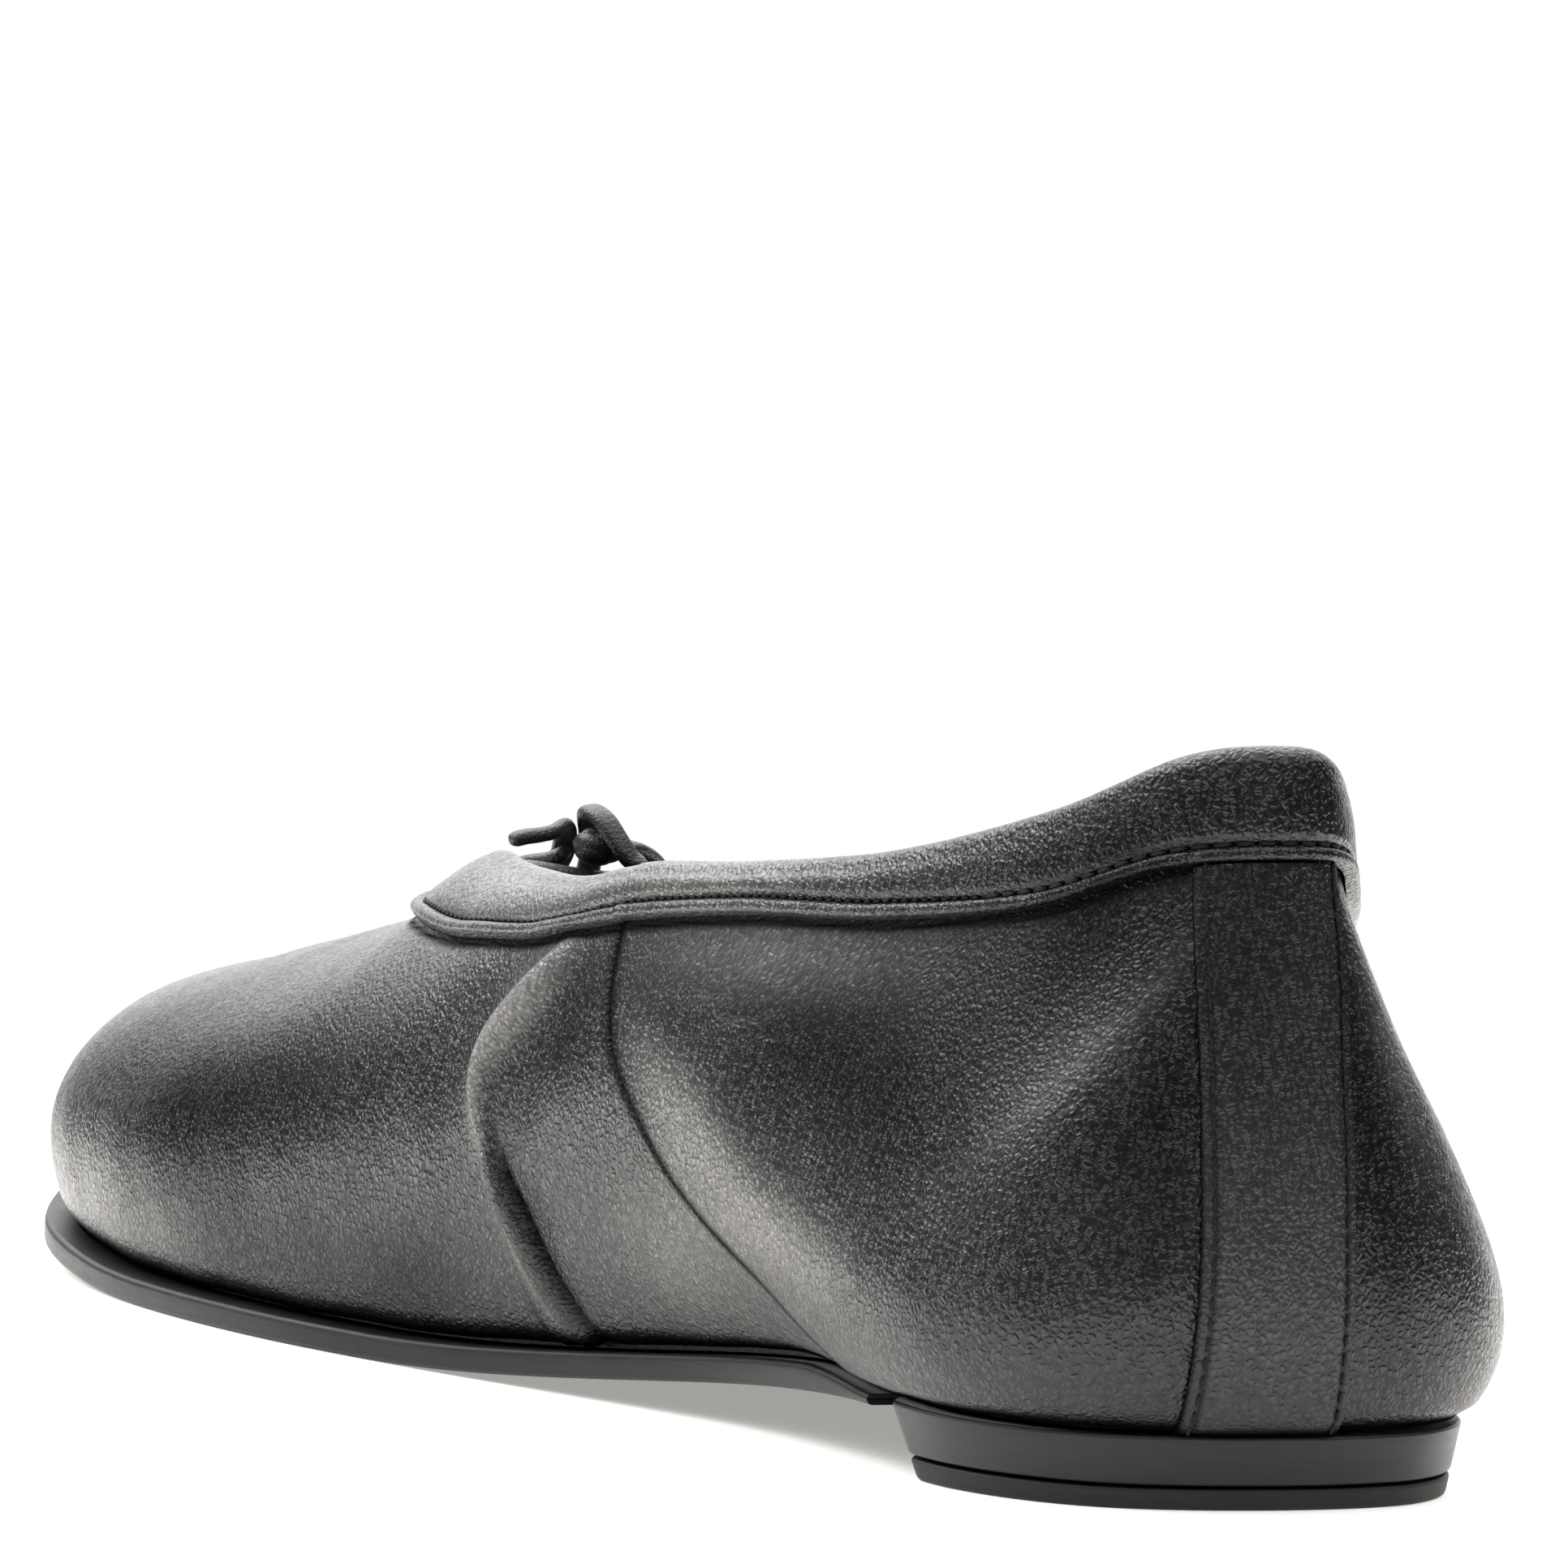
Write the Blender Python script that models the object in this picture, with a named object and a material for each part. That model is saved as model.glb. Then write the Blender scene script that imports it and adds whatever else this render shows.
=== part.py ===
"""A woman's soft leather ballet flat for the left foot, with one solid for each piece that a maker cuts.

Metres, +Z up, the toe towards +Y and the outer side of the foot towards -X. The upper is a thin wall that
runs from the sole's edge up to the collar. Each line up the wall is a cubic curve between those two rings,
and a table holds one row for each station round the shoe. Every other piece of the upper lies on that wall.
"""

from collections import namedtuple

import bmesh
import bpy
import numpy as np

# The last: overall sizes of the shoe. Along is counted from the sole's back, and the origin lies on the
# floor under the middle of the heel.
SOLE_LENGTH = 0.250
BALL_WIDTH = 0.088
BACK_HEIGHT = 0.0705
COLLAR_LENGTH = 0.1625
COLLAR_WIDTH = 0.058
COLLAR_SETBACK = 0.0040

# The bottom: top lift, heel block and outsole, from the floor up.
LIFT_THICKNESS = 0.0020
BLOCK_THICKNESS = 0.0047
OUTSOLE_THICKNESS = 0.0026
EDGE_ROUND = 0.0006
HEEL_LENGTH = 0.037
HEEL_TAPER = 0.0013
BREAST_LEAN = 0.0042
BREAST_ROUND = 0.007
ARCH_LIFT = 0.0059
BALL_FLAT_START = 0.130
BALL_FLAT_END = 0.174
TOE_SPRING = 0.0080
SEAT_BLEND = 0.018
INSOLE_THICKNESS = 0.0018

# The leather and how the pieces meet.
WALL = 0.0016
QUARTER_THICKNESS = 0.0007
STRIP_THICKNESS = 0.0008
STRIP_WIDTH = 0.0134
STRIP_BEVEL = 0.04
BAND_THICKNESS = 0.0012
BAND_WIDTH = 0.0105
BEAD_WIDTH = 0.0022
BEAD_RISE = 0.0006
RIM_COVER = 0.0014
FEATHER_INSET = 0.0022
INSOLE_CLEARANCE = 0.0008
GAP = 0.0003

# The drawstring's bow at the throat. Each lace is one loop and the end that it runs out in: the inner one
# passes over the knot, and the outer one crosses itself. Their points are counted from the knot's middle.
LACE_WIDTH = 0.0022
KNOT_ACROSS = -0.0014
KNOT_SETBACK = 0.0020
KNOT_RISE = 0.0033
KNOT_HALF = (0.0026, 0.0025, 0.0019)
Spot = namedtuple("Spot", "across along height")
LACE_ROUTES = {
    "bow_lace_inner": (
        Spot(0.0028, 0.0011, -0.0001),
        Spot(0.0052, 0.0030, -0.0006),
        Spot(0.0082, 0.0062, -0.0020),
        Spot(0.0110, 0.0098, -0.0043),
        Spot(0.0125, 0.0138, -0.0062),
        Spot(0.0109, 0.0173, -0.0068),
        Spot(0.0074, 0.0179, -0.0067),
        Spot(0.0048, 0.0150, -0.0056),
        Spot(0.0034, 0.0112, -0.0037),
        Spot(0.0023, 0.0078, -0.0015),
        Spot(0.0010, 0.0049, 0.0009),
        Spot(-0.0003, 0.0023, 0.0029),
        Spot(-0.0009, -0.0002, 0.0034),
        Spot(-0.0004, -0.0025, 0.0026),
        Spot(0.0006, -0.0039, 0.0006),
        Spot(0.0018, -0.0043, -0.0010),
        Spot(0.0034, -0.0039, -0.0015),
    ),
    "bow_lace_outer": (
        Spot(-0.0025, 0.0020, -0.0007),
        Spot(-0.0037, 0.0038, -0.0016),
        Spot(-0.0050, 0.0064, -0.0022),
        Spot(-0.0061, 0.0090, -0.0033),
        Spot(-0.0066, 0.0118, -0.0048),
        Spot(-0.0058, 0.0148, -0.0060),
        Spot(-0.0034, 0.0162, -0.0063),
        Spot(-0.0013, 0.0144, -0.0055),
        Spot(-0.0007, 0.0112, -0.0038),
        Spot(-0.0008, 0.0078, -0.0015),
        Spot(-0.0017, 0.0049, 0.0008),
        Spot(-0.0031, 0.0026, 0.0016),
        Spot(-0.0047, 0.0009, 0.0013),
        Spot(-0.0064, 0.0001, 0.0011),
        Spot(-0.0080, 0.0000, 0.0009),
        Spot(-0.0095, 0.0001, 0.0005),
    ),
}

# How finely the curved walls are cut into facets.
QUARTER_COLUMNS = 17
VAMP_COLUMNS = 32
WALL_ROWS = 12
STRIP_ROWS = 16
SOLE_STATIONS = 26

# One row for each station round the shoe, from the back seam along the outer side to the toe and back along
# the inner side. Along and across are shares of the sole's or the collar's length and half width, height is
# a share of the back height, tuck a share of the feather inset and band a share of the band's width. Spring
# and lean are the wall's slopes in degrees at the sole and at the collar, and rise and fall say how far the
# wall keeps them, as shares of the straight way from sole to collar.
Station = namedtuple(
    "Station", "sole_along sole_across tuck spring rise rim_along rim_across height lean fall band"
)
STATIONS = (
    Station(0.000, 0.010, 0.3, 66, 0.28, 0.000, -0.045, 1.000, 87, 0.44, 1.00),
    Station(0.018, -0.380, 0.3, 52, 0.30, 0.024, -0.300, 0.982, 87, 0.44, 1.00),
    Station(0.080, -0.580, 0.3, 42, 0.32, 0.105, -0.520, 0.898, 84, 0.42, 0.92),
    Station(0.180, -0.580, 0.4, 42, 0.35, 0.228, -0.740, 0.818, 74, 0.36, 0.68),
    Station(0.280, -0.605, 0.7, 44, 0.38, 0.352, -0.910, 0.774, 66, 0.32, 0.54),
    Station(0.380, -0.727, 1.0, 56, 0.38, 0.488, -1.000, 0.744, 60, 0.30, 0.50),
    Station(0.480, -0.875, 1.0, 60, 0.36, 0.612, -1.010, 0.714, 52, 0.32, 0.60),
    Station(0.580, -1.000, 1.0, 64, 0.35, 0.728, -0.940, 0.688, 42, 0.34, 0.80),
    Station(0.680, -1.050, 1.0, 66, 0.35, 0.826, -0.780, 0.670, 34, 0.38, 0.94),
    Station(0.780, -1.025, 1.0, 66, 0.33, 0.896, -0.560, 0.654, 28, 0.40, 1.02),
    Station(0.868, -0.915, 1.0, 66, 0.31, 0.948, -0.350, 0.636, 24, 0.44, 1.06),
    Station(0.946, -0.620, 1.0, 68, 0.30, 0.984, -0.170, 0.620, 20, 0.48, 1.06),
    Station(0.992, -0.150, 1.0, 70, 0.30, 1.000, -0.010, 0.610, 18, 0.50, 1.06),
    Station(0.992, 0.270, 1.0, 70, 0.30, 0.996, 0.140, 0.612, 18, 0.50, 1.06),
    Station(0.952, 0.602, 1.0, 70, 0.31, 0.976, 0.300, 0.620, 20, 0.47, 1.06),
    Station(0.880, 0.830, 1.0, 70, 0.32, 0.934, 0.490, 0.630, 24, 0.43, 1.04),
    Station(0.790, 0.950, 1.0, 70, 0.33, 0.868, 0.680, 0.642, 30, 0.40, 0.98),
    Station(0.686, 0.955, 1.0, 68, 0.34, 0.784, 0.840, 0.656, 38, 0.37, 0.88),
    Station(0.580, 0.850, 1.0, 62, 0.36, 0.682, 0.940, 0.668, 48, 0.34, 0.76),
    Station(0.480, 0.682, 1.0, 54, 0.38, 0.574, 0.970, 0.686, 54, 0.32, 0.64),
    Station(0.380, 0.545, 0.9, 46, 0.40, 0.460, 0.940, 0.710, 60, 0.30, 0.58),
    Station(0.280, 0.489, 0.7, 42, 0.40, 0.338, 0.830, 0.746, 66, 0.32, 0.62),
    Station(0.180, 0.545, 0.4, 42, 0.36, 0.222, 0.650, 0.804, 76, 0.38, 0.74),
    Station(0.080, 0.605, 0.3, 42, 0.32, 0.105, 0.400, 0.898, 88, 0.44, 0.92),
    Station(0.018, 0.400, 0.3, 52, 0.30, 0.024, 0.170, 0.982, 87, 0.44, 1.00),
)
STATION_COUNT = len(STATIONS)
TOE_STATION = STATION_COUNT / 2

# The seam between vamp and quarter: its station at even steps from the sole up to the collar, counted from
# the back on either side.
Seam = namedtuple("Seam", "outer inner")
SEAM = (
    Seam(2.75, 2.75),
    Seam(3.42, 3.42),
    Seam(4.18, 4.18),
    Seam(4.74, 4.74),
    Seam(5.03, 5.03),
    Seam(5.14, 5.14),
)
SEAM_STEP = 0.03

# The station where the back strip's middle lies, a little towards the outer side.
STRIP_STATION = 0.10

# The finest steps: how far to either side a slope is read, and how closely a curve is followed.
STATION_REACH = 0.01
WAY_REACH = 0.01
OUTLINE_POINTS = 601
WAY_POINTS = 61
MERGE_DISTANCE = 0.00001
SHARP_ANGLE = 40

BLACK_LEATHER = (0.018, 0.018, 0.020)
DARK_LINING = (0.050, 0.046, 0.042)
SOLE_BLACK = (0.020, 0.020, 0.021)


def smooth_step(value):
    """Ease from 0 to 1 as the value goes from 0 to 1."""
    part = np.clip(value, 0.0, 1.0)
    return part * part * (3.0 - 2.0 * part)


def smooth_curve(before, here, after, beyond, part):
    """Return a point between the two middle values on a smooth curve through all four."""
    bend = 2.0 * before - 5.0 * here + 4.0 * after - beyond
    twist = -before + 3.0 * here - 3.0 * after + beyond
    return 0.5 * (2.0 * here + (after - before) * part + bend * part**2 + twist * part**3)


def round_table(at, column):
    """Read one column of the station table on a smooth closed curve through its rows."""
    rows = np.array([getattr(row, column) for row in STATIONS])
    start = np.floor(at).astype(int)
    near = (rows[(start + step) % STATION_COUNT] for step in (-1, 0, 1, 2))
    return smooth_curve(*near, at - start)


def plan_normal(curve, at):
    """Return the outward level direction of a plan curve, which runs clockwise seen from above."""
    run = curve(at + STATION_REACH) - curve(at - STATION_REACH)
    length = np.hypot(run[..., 0], run[..., 1])
    return np.stack([-run[..., 1] / length, run[..., 0] / length], axis=-1)


def sole_outline(at):
    """Return the sole's outline in plan."""
    across = round_table(at, "sole_across") * BALL_WIDTH / 2
    along = round_table(at, "sole_along") * SOLE_LENGTH
    return np.stack([across, along], axis=-1)


def rim_outline(at):
    """Return the collar's edge in plan."""
    across = round_table(at, "rim_across") * COLLAR_WIDTH / 2
    along = COLLAR_SETBACK + round_table(at, "rim_along") * COLLAR_LENGTH
    return np.stack([across, along], axis=-1)


def sole_underside(along):
    """Return the height of the outsole's underside: the arch, the flat ball and the toe spring."""
    arch = ARCH_LIFT * smooth_step((BALL_FLAT_START - along) / (BALL_FLAT_START - HEEL_LENGTH))
    ahead = np.clip((along - BALL_FLAT_END) / (SOLE_LENGTH - BALL_FLAT_END), 0.0, None)
    return arch + TOE_SPRING * ahead**2


def seat_height(along):
    """Return the height of what the foot's seat rests on: the heel block, then the top of the outsole."""
    seat = LIFT_THICKNESS + GAP + BLOCK_THICKNESS
    forward = smooth_step((along - HEEL_LENGTH) / SEAT_BLEND)
    return seat + forward * (sole_underside(along) + OUTSOLE_THICKNESS - seat)


def feather_edge(at):
    """Return the wall's foot, tucked in from the sole's edge and just above the sole."""
    inset = round_table(at, "tuck") * FEATHER_INSET
    plan = sole_outline(at) - plan_normal(sole_outline, at) * inset[..., None]
    height = seat_height(plan[..., 1]) + GAP
    return np.concatenate([plan, height[..., None]], axis=-1)


def rim_edge(at):
    """Return the collar's edge in space."""
    height = round_table(at, "height") * BACK_HEIGHT
    return np.concatenate([rim_outline(at), height[..., None]], axis=-1)


def lift_direction(curve, at, angle_column):
    """Return a unit direction that leaves a plan curve outwards at a column's angle above the level."""
    angle = np.radians(round_table(at, angle_column))
    level = plan_normal(curve, at) * np.cos(angle)[..., None]
    return np.concatenate([level, np.sin(angle)[..., None]], axis=-1)


def wall_point(at, way):
    """Return the outer face of the vamp's leather at a station, a share of the way from sole to collar."""
    foot = feather_edge(at)
    rim = rim_edge(at)
    reach = np.linalg.norm(rim - foot, axis=-1)
    foot_reach = (round_table(at, "rise") * reach)[..., None]
    rim_reach = (round_table(at, "fall") * reach)[..., None]
    low = foot + foot_reach * lift_direction(sole_outline, at, "spring")
    high = rim + rim_reach * lift_direction(rim_outline, at, "lean") * np.array([1.0, 1.0, -1.0])
    up = np.asarray(way)[..., None]
    down = 1.0 - up
    return down**3 * foot + 3 * down**2 * up * low + 3 * down * up**2 * high + up**3 * rim


def skin(at, way, offset):
    """Return the wall moved outwards by an offset, and never below what its foot stands on."""
    along = wall_point(at + STATION_REACH, way) - wall_point(at - STATION_REACH, way)
    upward = wall_point(at, way + WAY_REACH) - wall_point(at, way - WAY_REACH)
    normal = np.cross(upward, along)
    normal /= np.linalg.norm(normal, axis=-1, keepdims=True)
    points = wall_point(at, way) + normal * np.asarray(offset)[..., None]
    points[..., 2] = np.maximum(points[..., 2], seat_height(points[..., 1]) + GAP)
    return points


def seam_station(way, side):
    """Return the station of the quarter's front edge on one side, the outer or the inner."""
    rows = np.array([getattr(row, side) for row in SEAM])
    rows = np.concatenate([[2 * rows[0] - rows[1]], rows, [2 * rows[-1] - rows[-2]]])
    at = np.clip(way, 0.0, 1.0) * (len(SEAM) - 1)
    start = np.minimum(np.floor(at).astype(int), len(SEAM) - 2)
    distance = smooth_curve(*(rows[start + step] for step in range(4)), at - start)
    return distance if side == "outer" else STATION_COUNT - distance


def wall_columns():
    """List the wall's upright lines as a panel, a side and a share of that panel, going round the shoe."""
    quarter = np.linspace(0.0, 1.0, QUARTER_COLUMNS)
    vamp = np.linspace(0.0, 1.0, VAMP_COLUMNS)
    columns = [("quarter", "outer", share) for share in quarter]
    columns += [("vamp", "outer", share) for share in vamp]
    columns += [("vamp", "inner", share) for share in vamp[-2::-1]]
    columns += [("quarter", "inner", share) for share in quarter[:0:-1]]
    return columns


def column_station(column, way):
    """Return the station that a column has at a share of the way up the wall."""
    panel, side, share = column
    back = 0.0 if side == "outer" else STATION_COUNT
    forward = 1.0 if side == "outer" else -1.0
    seam = seam_station(way, side)
    if panel == "quarter":
        return back + share * (seam - back)
    start = seam + forward * SEAM_STEP
    return start + share * (TOE_STATION - start)


def column_lift(column):
    """Return how far the leather of a column's panel stands above the vamp's."""
    return QUARTER_THICKNESS if column[0] == "quarter" else 0.0


def way_below_rim(column, distances):
    """Return the shares of the way up at which a column lies the given distances below the rim."""
    ways = np.linspace(0.0, 1.0, WAY_POINTS)
    points = wall_point(column_station(column, ways), ways)
    steps = np.linalg.norm(np.diff(points, axis=0), axis=1)
    below = np.concatenate([np.cumsum(steps[::-1])[::-1], [0.0]])
    return np.interp(distances, below[::-1], ways[::-1])


def band_width(column):
    """Return the width of the collar band at a column."""
    station = column_station(column, np.array(1.0))
    return float(round_table(station, "band")) * BAND_WIDTH


def make_material(name, colour, roughness):
    """Make a plain material of one colour and roughness."""
    material = bpy.data.materials.new(name)
    material.use_nodes = True
    shader = material.node_tree.nodes["Principled BSDF"]
    shader.inputs["Base Color"].default_value = (*colour, 1.0)
    shader.inputs["Roughness"].default_value = roughness
    shader.inputs["Metallic"].default_value = 0.0
    return material


def add_solid(name, points, faces, colour, roughness):
    """Add a closed mesh as an object, with its faces pointing out and shaded smooth."""
    mesh = bpy.data.meshes.new(name)
    points = np.asarray(points) - np.array([0.0, HEEL_LENGTH / 2, 0.0])
    mesh.from_pydata([tuple(point) for point in points], [], faces)
    shape = bmesh.new()
    shape.from_mesh(mesh)
    bmesh.ops.recalc_face_normals(shape, faces=shape.faces)
    shape.to_mesh(mesh)
    shape.free()
    mesh.shade_smooth()
    mesh.set_sharp_from_angle(angle=np.radians(SHARP_ANGLE))
    mesh.materials.append(make_material(name, colour, roughness))
    piece = bpy.data.objects.new(name, mesh)
    bpy.context.collection.objects.link(piece)
    return piece


def loop_faces(ring_count, ring_size, closed):
    """List the quads between rings of points, joining the last ring to the first where it is closed."""
    faces = []
    for ring in range(ring_count if closed else ring_count - 1):
        for spot in range(ring_size):
            here = ring * ring_size
            there = (ring + 1) % ring_count * ring_size
            after = (spot + 1) % ring_size
            faces.append((here + spot, here + after, there + after, there + spot))
    return faces


def build_upper():
    """Build the vamp and quarters as one hollow wall, open at the collar and at the sole."""
    columns = wall_columns()
    rings = []
    for column in columns:
        top = way_below_rim(column, RIM_COVER)
        ways = np.linspace(0.0, 1.0, WALL_ROWS) * top
        stations = column_station(column, ways)
        outer = skin(stations, ways, np.full(WALL_ROWS, column_lift(column)))
        inner = skin(stations, ways, np.full(WALL_ROWS, -WALL))
        rings.append(np.concatenate([outer, inner[::-1]]))
    points = np.concatenate(rings)
    faces = loop_faces(len(columns), 2 * WALL_ROWS, True)
    return add_solid("upper", points, faces, BLACK_LEATHER, 0.42)


def build_collar_band():
    """Build the band round the collar: a bead at its foot, and a crown that laps over the wall's edge."""
    rings = []
    for column in wall_columns():
        width = band_width(column)
        under = column_lift(column) + GAP
        over = under + BAND_THICKNESS
        middle = (over - WALL) / 2
        section = (
            (width, under),
            (width, over + 0.5 * BEAD_RISE),
            (width - 0.25 * BEAD_WIDTH, over + BEAD_RISE),
            (width - 0.75 * BEAD_WIDTH, over + BEAD_RISE),
            (width - BEAD_WIDTH, over),
            ((width - BEAD_WIDTH) / 2, over),
            (0.5 * BAND_THICKNESS, over),
            (0.0, middle + 0.5 * BAND_THICKNESS),
            (0.0, middle - 0.5 * BAND_THICKNESS),
            (0.5 * BAND_THICKNESS, -WALL),
            (RIM_COVER - GAP, -WALL),
            (RIM_COVER - GAP, under),
        )
        below = np.array([row[0] for row in section])
        offsets = np.array([row[1] for row in section])
        ways = way_below_rim(column, below)
        rings.append(skin(column_station(column, ways), ways, offsets))
    points = np.concatenate(rings)
    faces = loop_faces(len(rings), len(section), True)
    return add_solid("collar_band", points, faces, BLACK_LEATHER, 0.42)


def build_back_strip():
    """Build the strip over the back seam, from the heel up to the collar band."""
    back = ("quarter", "outer", 0.0)
    top = way_below_rim(back, BAND_WIDTH + GAP)
    ways = np.linspace(0.0, top, STRIP_ROWS)
    before = wall_point(np.full(STRIP_ROWS, STRIP_STATION - STATION_REACH), ways)
    after = wall_point(np.full(STRIP_ROWS, STRIP_STATION + STATION_REACH), ways)
    station_size = np.linalg.norm(after - before, axis=1) / (2 * STATION_REACH)
    under = QUARTER_THICKNESS + GAP
    over = under + STRIP_THICKNESS
    shoulder = 1.0 - STRIP_BEVEL
    face = ((-shoulder, over), (-0.5, over), (0.0, over), (0.5, over), (shoulder, over))
    section = ((-1.0, under), *face, (1.0, under), (0.5, under), (0.0, under), (-0.5, under))
    rings = []
    for way, size in zip(ways, station_size):
        shares = STRIP_STATION + np.array([row[0] for row in section]) * STRIP_WIDTH / 2 / size
        offsets = np.array([row[1] for row in section])
        rings.append(skin(shares, np.full(len(section), way), offsets))
    points = np.concatenate(rings)
    faces = loop_faces(len(rings), len(section), False)
    for start in (0, (STRIP_ROWS - 1) * len(section)):
        faces.append((start, start + 1, start + 2, start + 9))
        faces.append((start + 9, start + 2, start + 3, start + 8))
        faces.append((start + 8, start + 3, start + 4, start + 7))
        faces.append((start + 7, start + 4, start + 5, start + 6))
    return add_solid("back_strip", points, faces, BLACK_LEATHER, 0.45)


def plan_sides(inset, tucked):
    """Return the outline's outer and inner sides, moved in by an inset, each from the back to the toe."""
    at = np.linspace(0.0, STATION_COUNT, OUTLINE_POINTS)[:-1]
    if tucked:
        inset = inset + round_table(at, "tuck") * FEATHER_INSET
    ring = sole_outline(at) - plan_normal(sole_outline, at) * np.broadcast_to(inset, at.shape)[:, None]
    ring = np.roll(ring, -int(np.argmin(ring[:, 1])), axis=0)
    toe = int(np.argmax(ring[:, 1]))
    outer = ring[: toe + 1]
    inner = np.concatenate([ring[toe:], ring[:1]])[::-1]
    return outer, inner


def plan_ring(inset, start=None, end=None, corner=0.0, tucked=False):
    """Return one closed ring of the outline, with the same distances along on both sides.

    The ring starts at the back and ends at the toe, unless a start or an end cuts it square. A corner is the
    radius of the two corners at a square end, and a tucked ring follows the foot of the wall.
    """
    outer, inner = plan_sides(inset, tucked)
    low = outer[0, 1] if start is None else start
    high = outer[-1, 1] if end is None else end
    first_turn = 0.0 if start is None else 0.5
    last_turn = 1.0 if end is None else 0.5
    ease = -np.cos(np.pi * np.linspace(first_turn, last_turn, SOLE_STATIONS))
    along = np.interp(ease, (ease[0], ease[-1]), (low, high))
    left = np.interp(along, outer[:, 1], outer[:, 0])
    right = np.interp(along, inner[:, 1], inner[:, 0])
    depth = np.clip(along - (high - corner), 0.0, corner)
    pull = corner - np.sqrt(corner**2 - depth**2)
    return left + pull, right - pull, along


def build_plate(name, levels, colour, roughness):
    """Build a plate from rings of the outline, each with its height worked out along the shoe."""
    points = []
    for (left, right, along), height in levels:
        heights = height(along)
        points.extend(np.stack([left, along, heights], axis=1))
        points.extend(np.stack([right, along, heights], axis=1)[::-1])
    count = len(levels[0][0][0])
    size = 2 * count
    faces = loop_faces(len(levels), size, False)
    for base in (0, (len(levels) - 1) * size):
        for spot in range(count - 1):
            across = size - 1 - spot
            faces.append((base + spot, base + spot + 1, base + across - 1, base + across))
    piece = add_solid(name, points, faces, colour, roughness)
    shape = bmesh.new()
    shape.from_mesh(piece.data)
    bmesh.ops.remove_doubles(shape, verts=shape.verts, dist=MERGE_DISTANCE)
    bmesh.ops.recalc_face_normals(shape, faces=shape.faces)
    shape.to_mesh(piece.data)
    shape.free()
    return piece


def build_outsole():
    """Build the thin outsole, from the heel breast to the toe."""
    breast = HEEL_LENGTH + GAP
    whole = plan_ring(0.0, start=breast)
    trimmed = plan_ring(EDGE_ROUND, start=breast)
    levels = (
        (trimmed, sole_underside),
        (whole, lambda along: sole_underside(along) + EDGE_ROUND),
        (whole, lambda along: seat_height(along) - EDGE_ROUND),
        (trimmed, seat_height),
    )
    return build_plate("outsole", levels, SOLE_BLACK, 0.35)


def build_heel():
    """Build the heel block under the seat, and the top lift that it stands on."""
    block_foot = LIFT_THICKNESS + GAP
    block_top = block_foot + BLOCK_THICKNESS

    def ring(height, extra_inset=0.0):
        share = 1.0 - height / block_top
        inset = GAP + HEEL_TAPER * share + extra_inset
        end = HEEL_LENGTH - BREAST_LEAN * share - extra_inset
        return plan_ring(inset, end=end, corner=BREAST_ROUND)

    def level(height):
        return lambda along: np.full(len(along), height)

    block = (
        (ring(block_foot), level(block_foot)),
        (ring(block_top - EDGE_ROUND), level(block_top - EDGE_ROUND)),
        (ring(block_top, EDGE_ROUND / 2), level(block_top)),
    )
    build_plate("heel_block", block, SOLE_BLACK, 0.32)
    lift = (
        (ring(0.0, EDGE_ROUND), level(0.0)),
        (ring(EDGE_ROUND), level(EDGE_ROUND)),
        (ring(LIFT_THICKNESS), level(LIFT_THICKNESS)),
    )
    build_plate("top_lift", lift, SOLE_BLACK, 0.45)


def build_insole():
    """Build the insole inside the foot of the wall."""
    ring = plan_ring(WALL + INSOLE_CLEARANCE, tucked=True)
    levels = (
        (ring, lambda along: seat_height(along) + GAP),
        (ring, lambda along: seat_height(along) + GAP + INSOLE_THICKNESS),
    )
    return build_plate("insole", levels, DARK_LINING, 0.7)


def knot_middle():
    """Return the middle of the bow's knot, just ahead of the throat's edge and above the collar band."""
    rim_height = float(round_table(np.array(TOE_STATION), "height")) * BACK_HEIGHT
    along = COLLAR_SETBACK + COLLAR_LENGTH + KNOT_SETBACK
    return np.array([KNOT_ACROSS, along, rim_height + KNOT_RISE])


def build_knot():
    """Build the bow's knot as a small round body."""
    shape = bmesh.new()
    bmesh.ops.create_uvsphere(shape, u_segments=16, v_segments=10, radius=1.0)
    points = [np.array(vert.co) * np.array(KNOT_HALF) + knot_middle() for vert in shape.verts]
    faces = [[vert.index for vert in face.verts] for face in shape.faces]
    shape.free()
    return add_solid("bow_knot", points, faces, BLACK_LEATHER, 0.4)


def build_lace(name, route):
    """Build one loop and end of the bow as a round cord along a smooth curve through its route."""
    spots = np.array(route) + knot_middle() - np.array([0.0, HEEL_LENGTH / 2, 0.0])
    rows = np.concatenate([[2 * spots[0] - spots[1]], spots, [2 * spots[-1] - spots[-2]]])
    line = []
    for start in range(len(spots) - 1):
        for part in (0.0, 0.5):
            line.append(smooth_curve(*rows[start : start + 4], part))
    line.append(spots[-1])
    curve = bpy.data.curves.new(name, "CURVE")
    curve.dimensions = "3D"
    curve.bevel_depth = LACE_WIDTH / 2
    curve.bevel_resolution = 2
    curve.use_fill_caps = True
    spline = curve.splines.new("POLY")
    spline.points.add(len(line) - 1)
    for point, spot in zip(spline.points, line):
        point.co = (*spot, 1.0)
    curve.materials.append(make_material(name, BLACK_LEATHER, 0.45))
    piece = bpy.data.objects.new(name, curve)
    bpy.context.collection.objects.link(piece)
    return piece


def main():
    """Clear the scene and build every piece."""
    for item in list(bpy.data.objects):
        bpy.data.objects.remove(item, do_unlink=True)
    build_outsole()
    build_heel()
    build_insole()
    build_upper()
    build_collar_band()
    build_back_strip()
    build_knot()
    for name, route in LACE_ROUTES.items():
        build_lace(name, route)


main()
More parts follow.
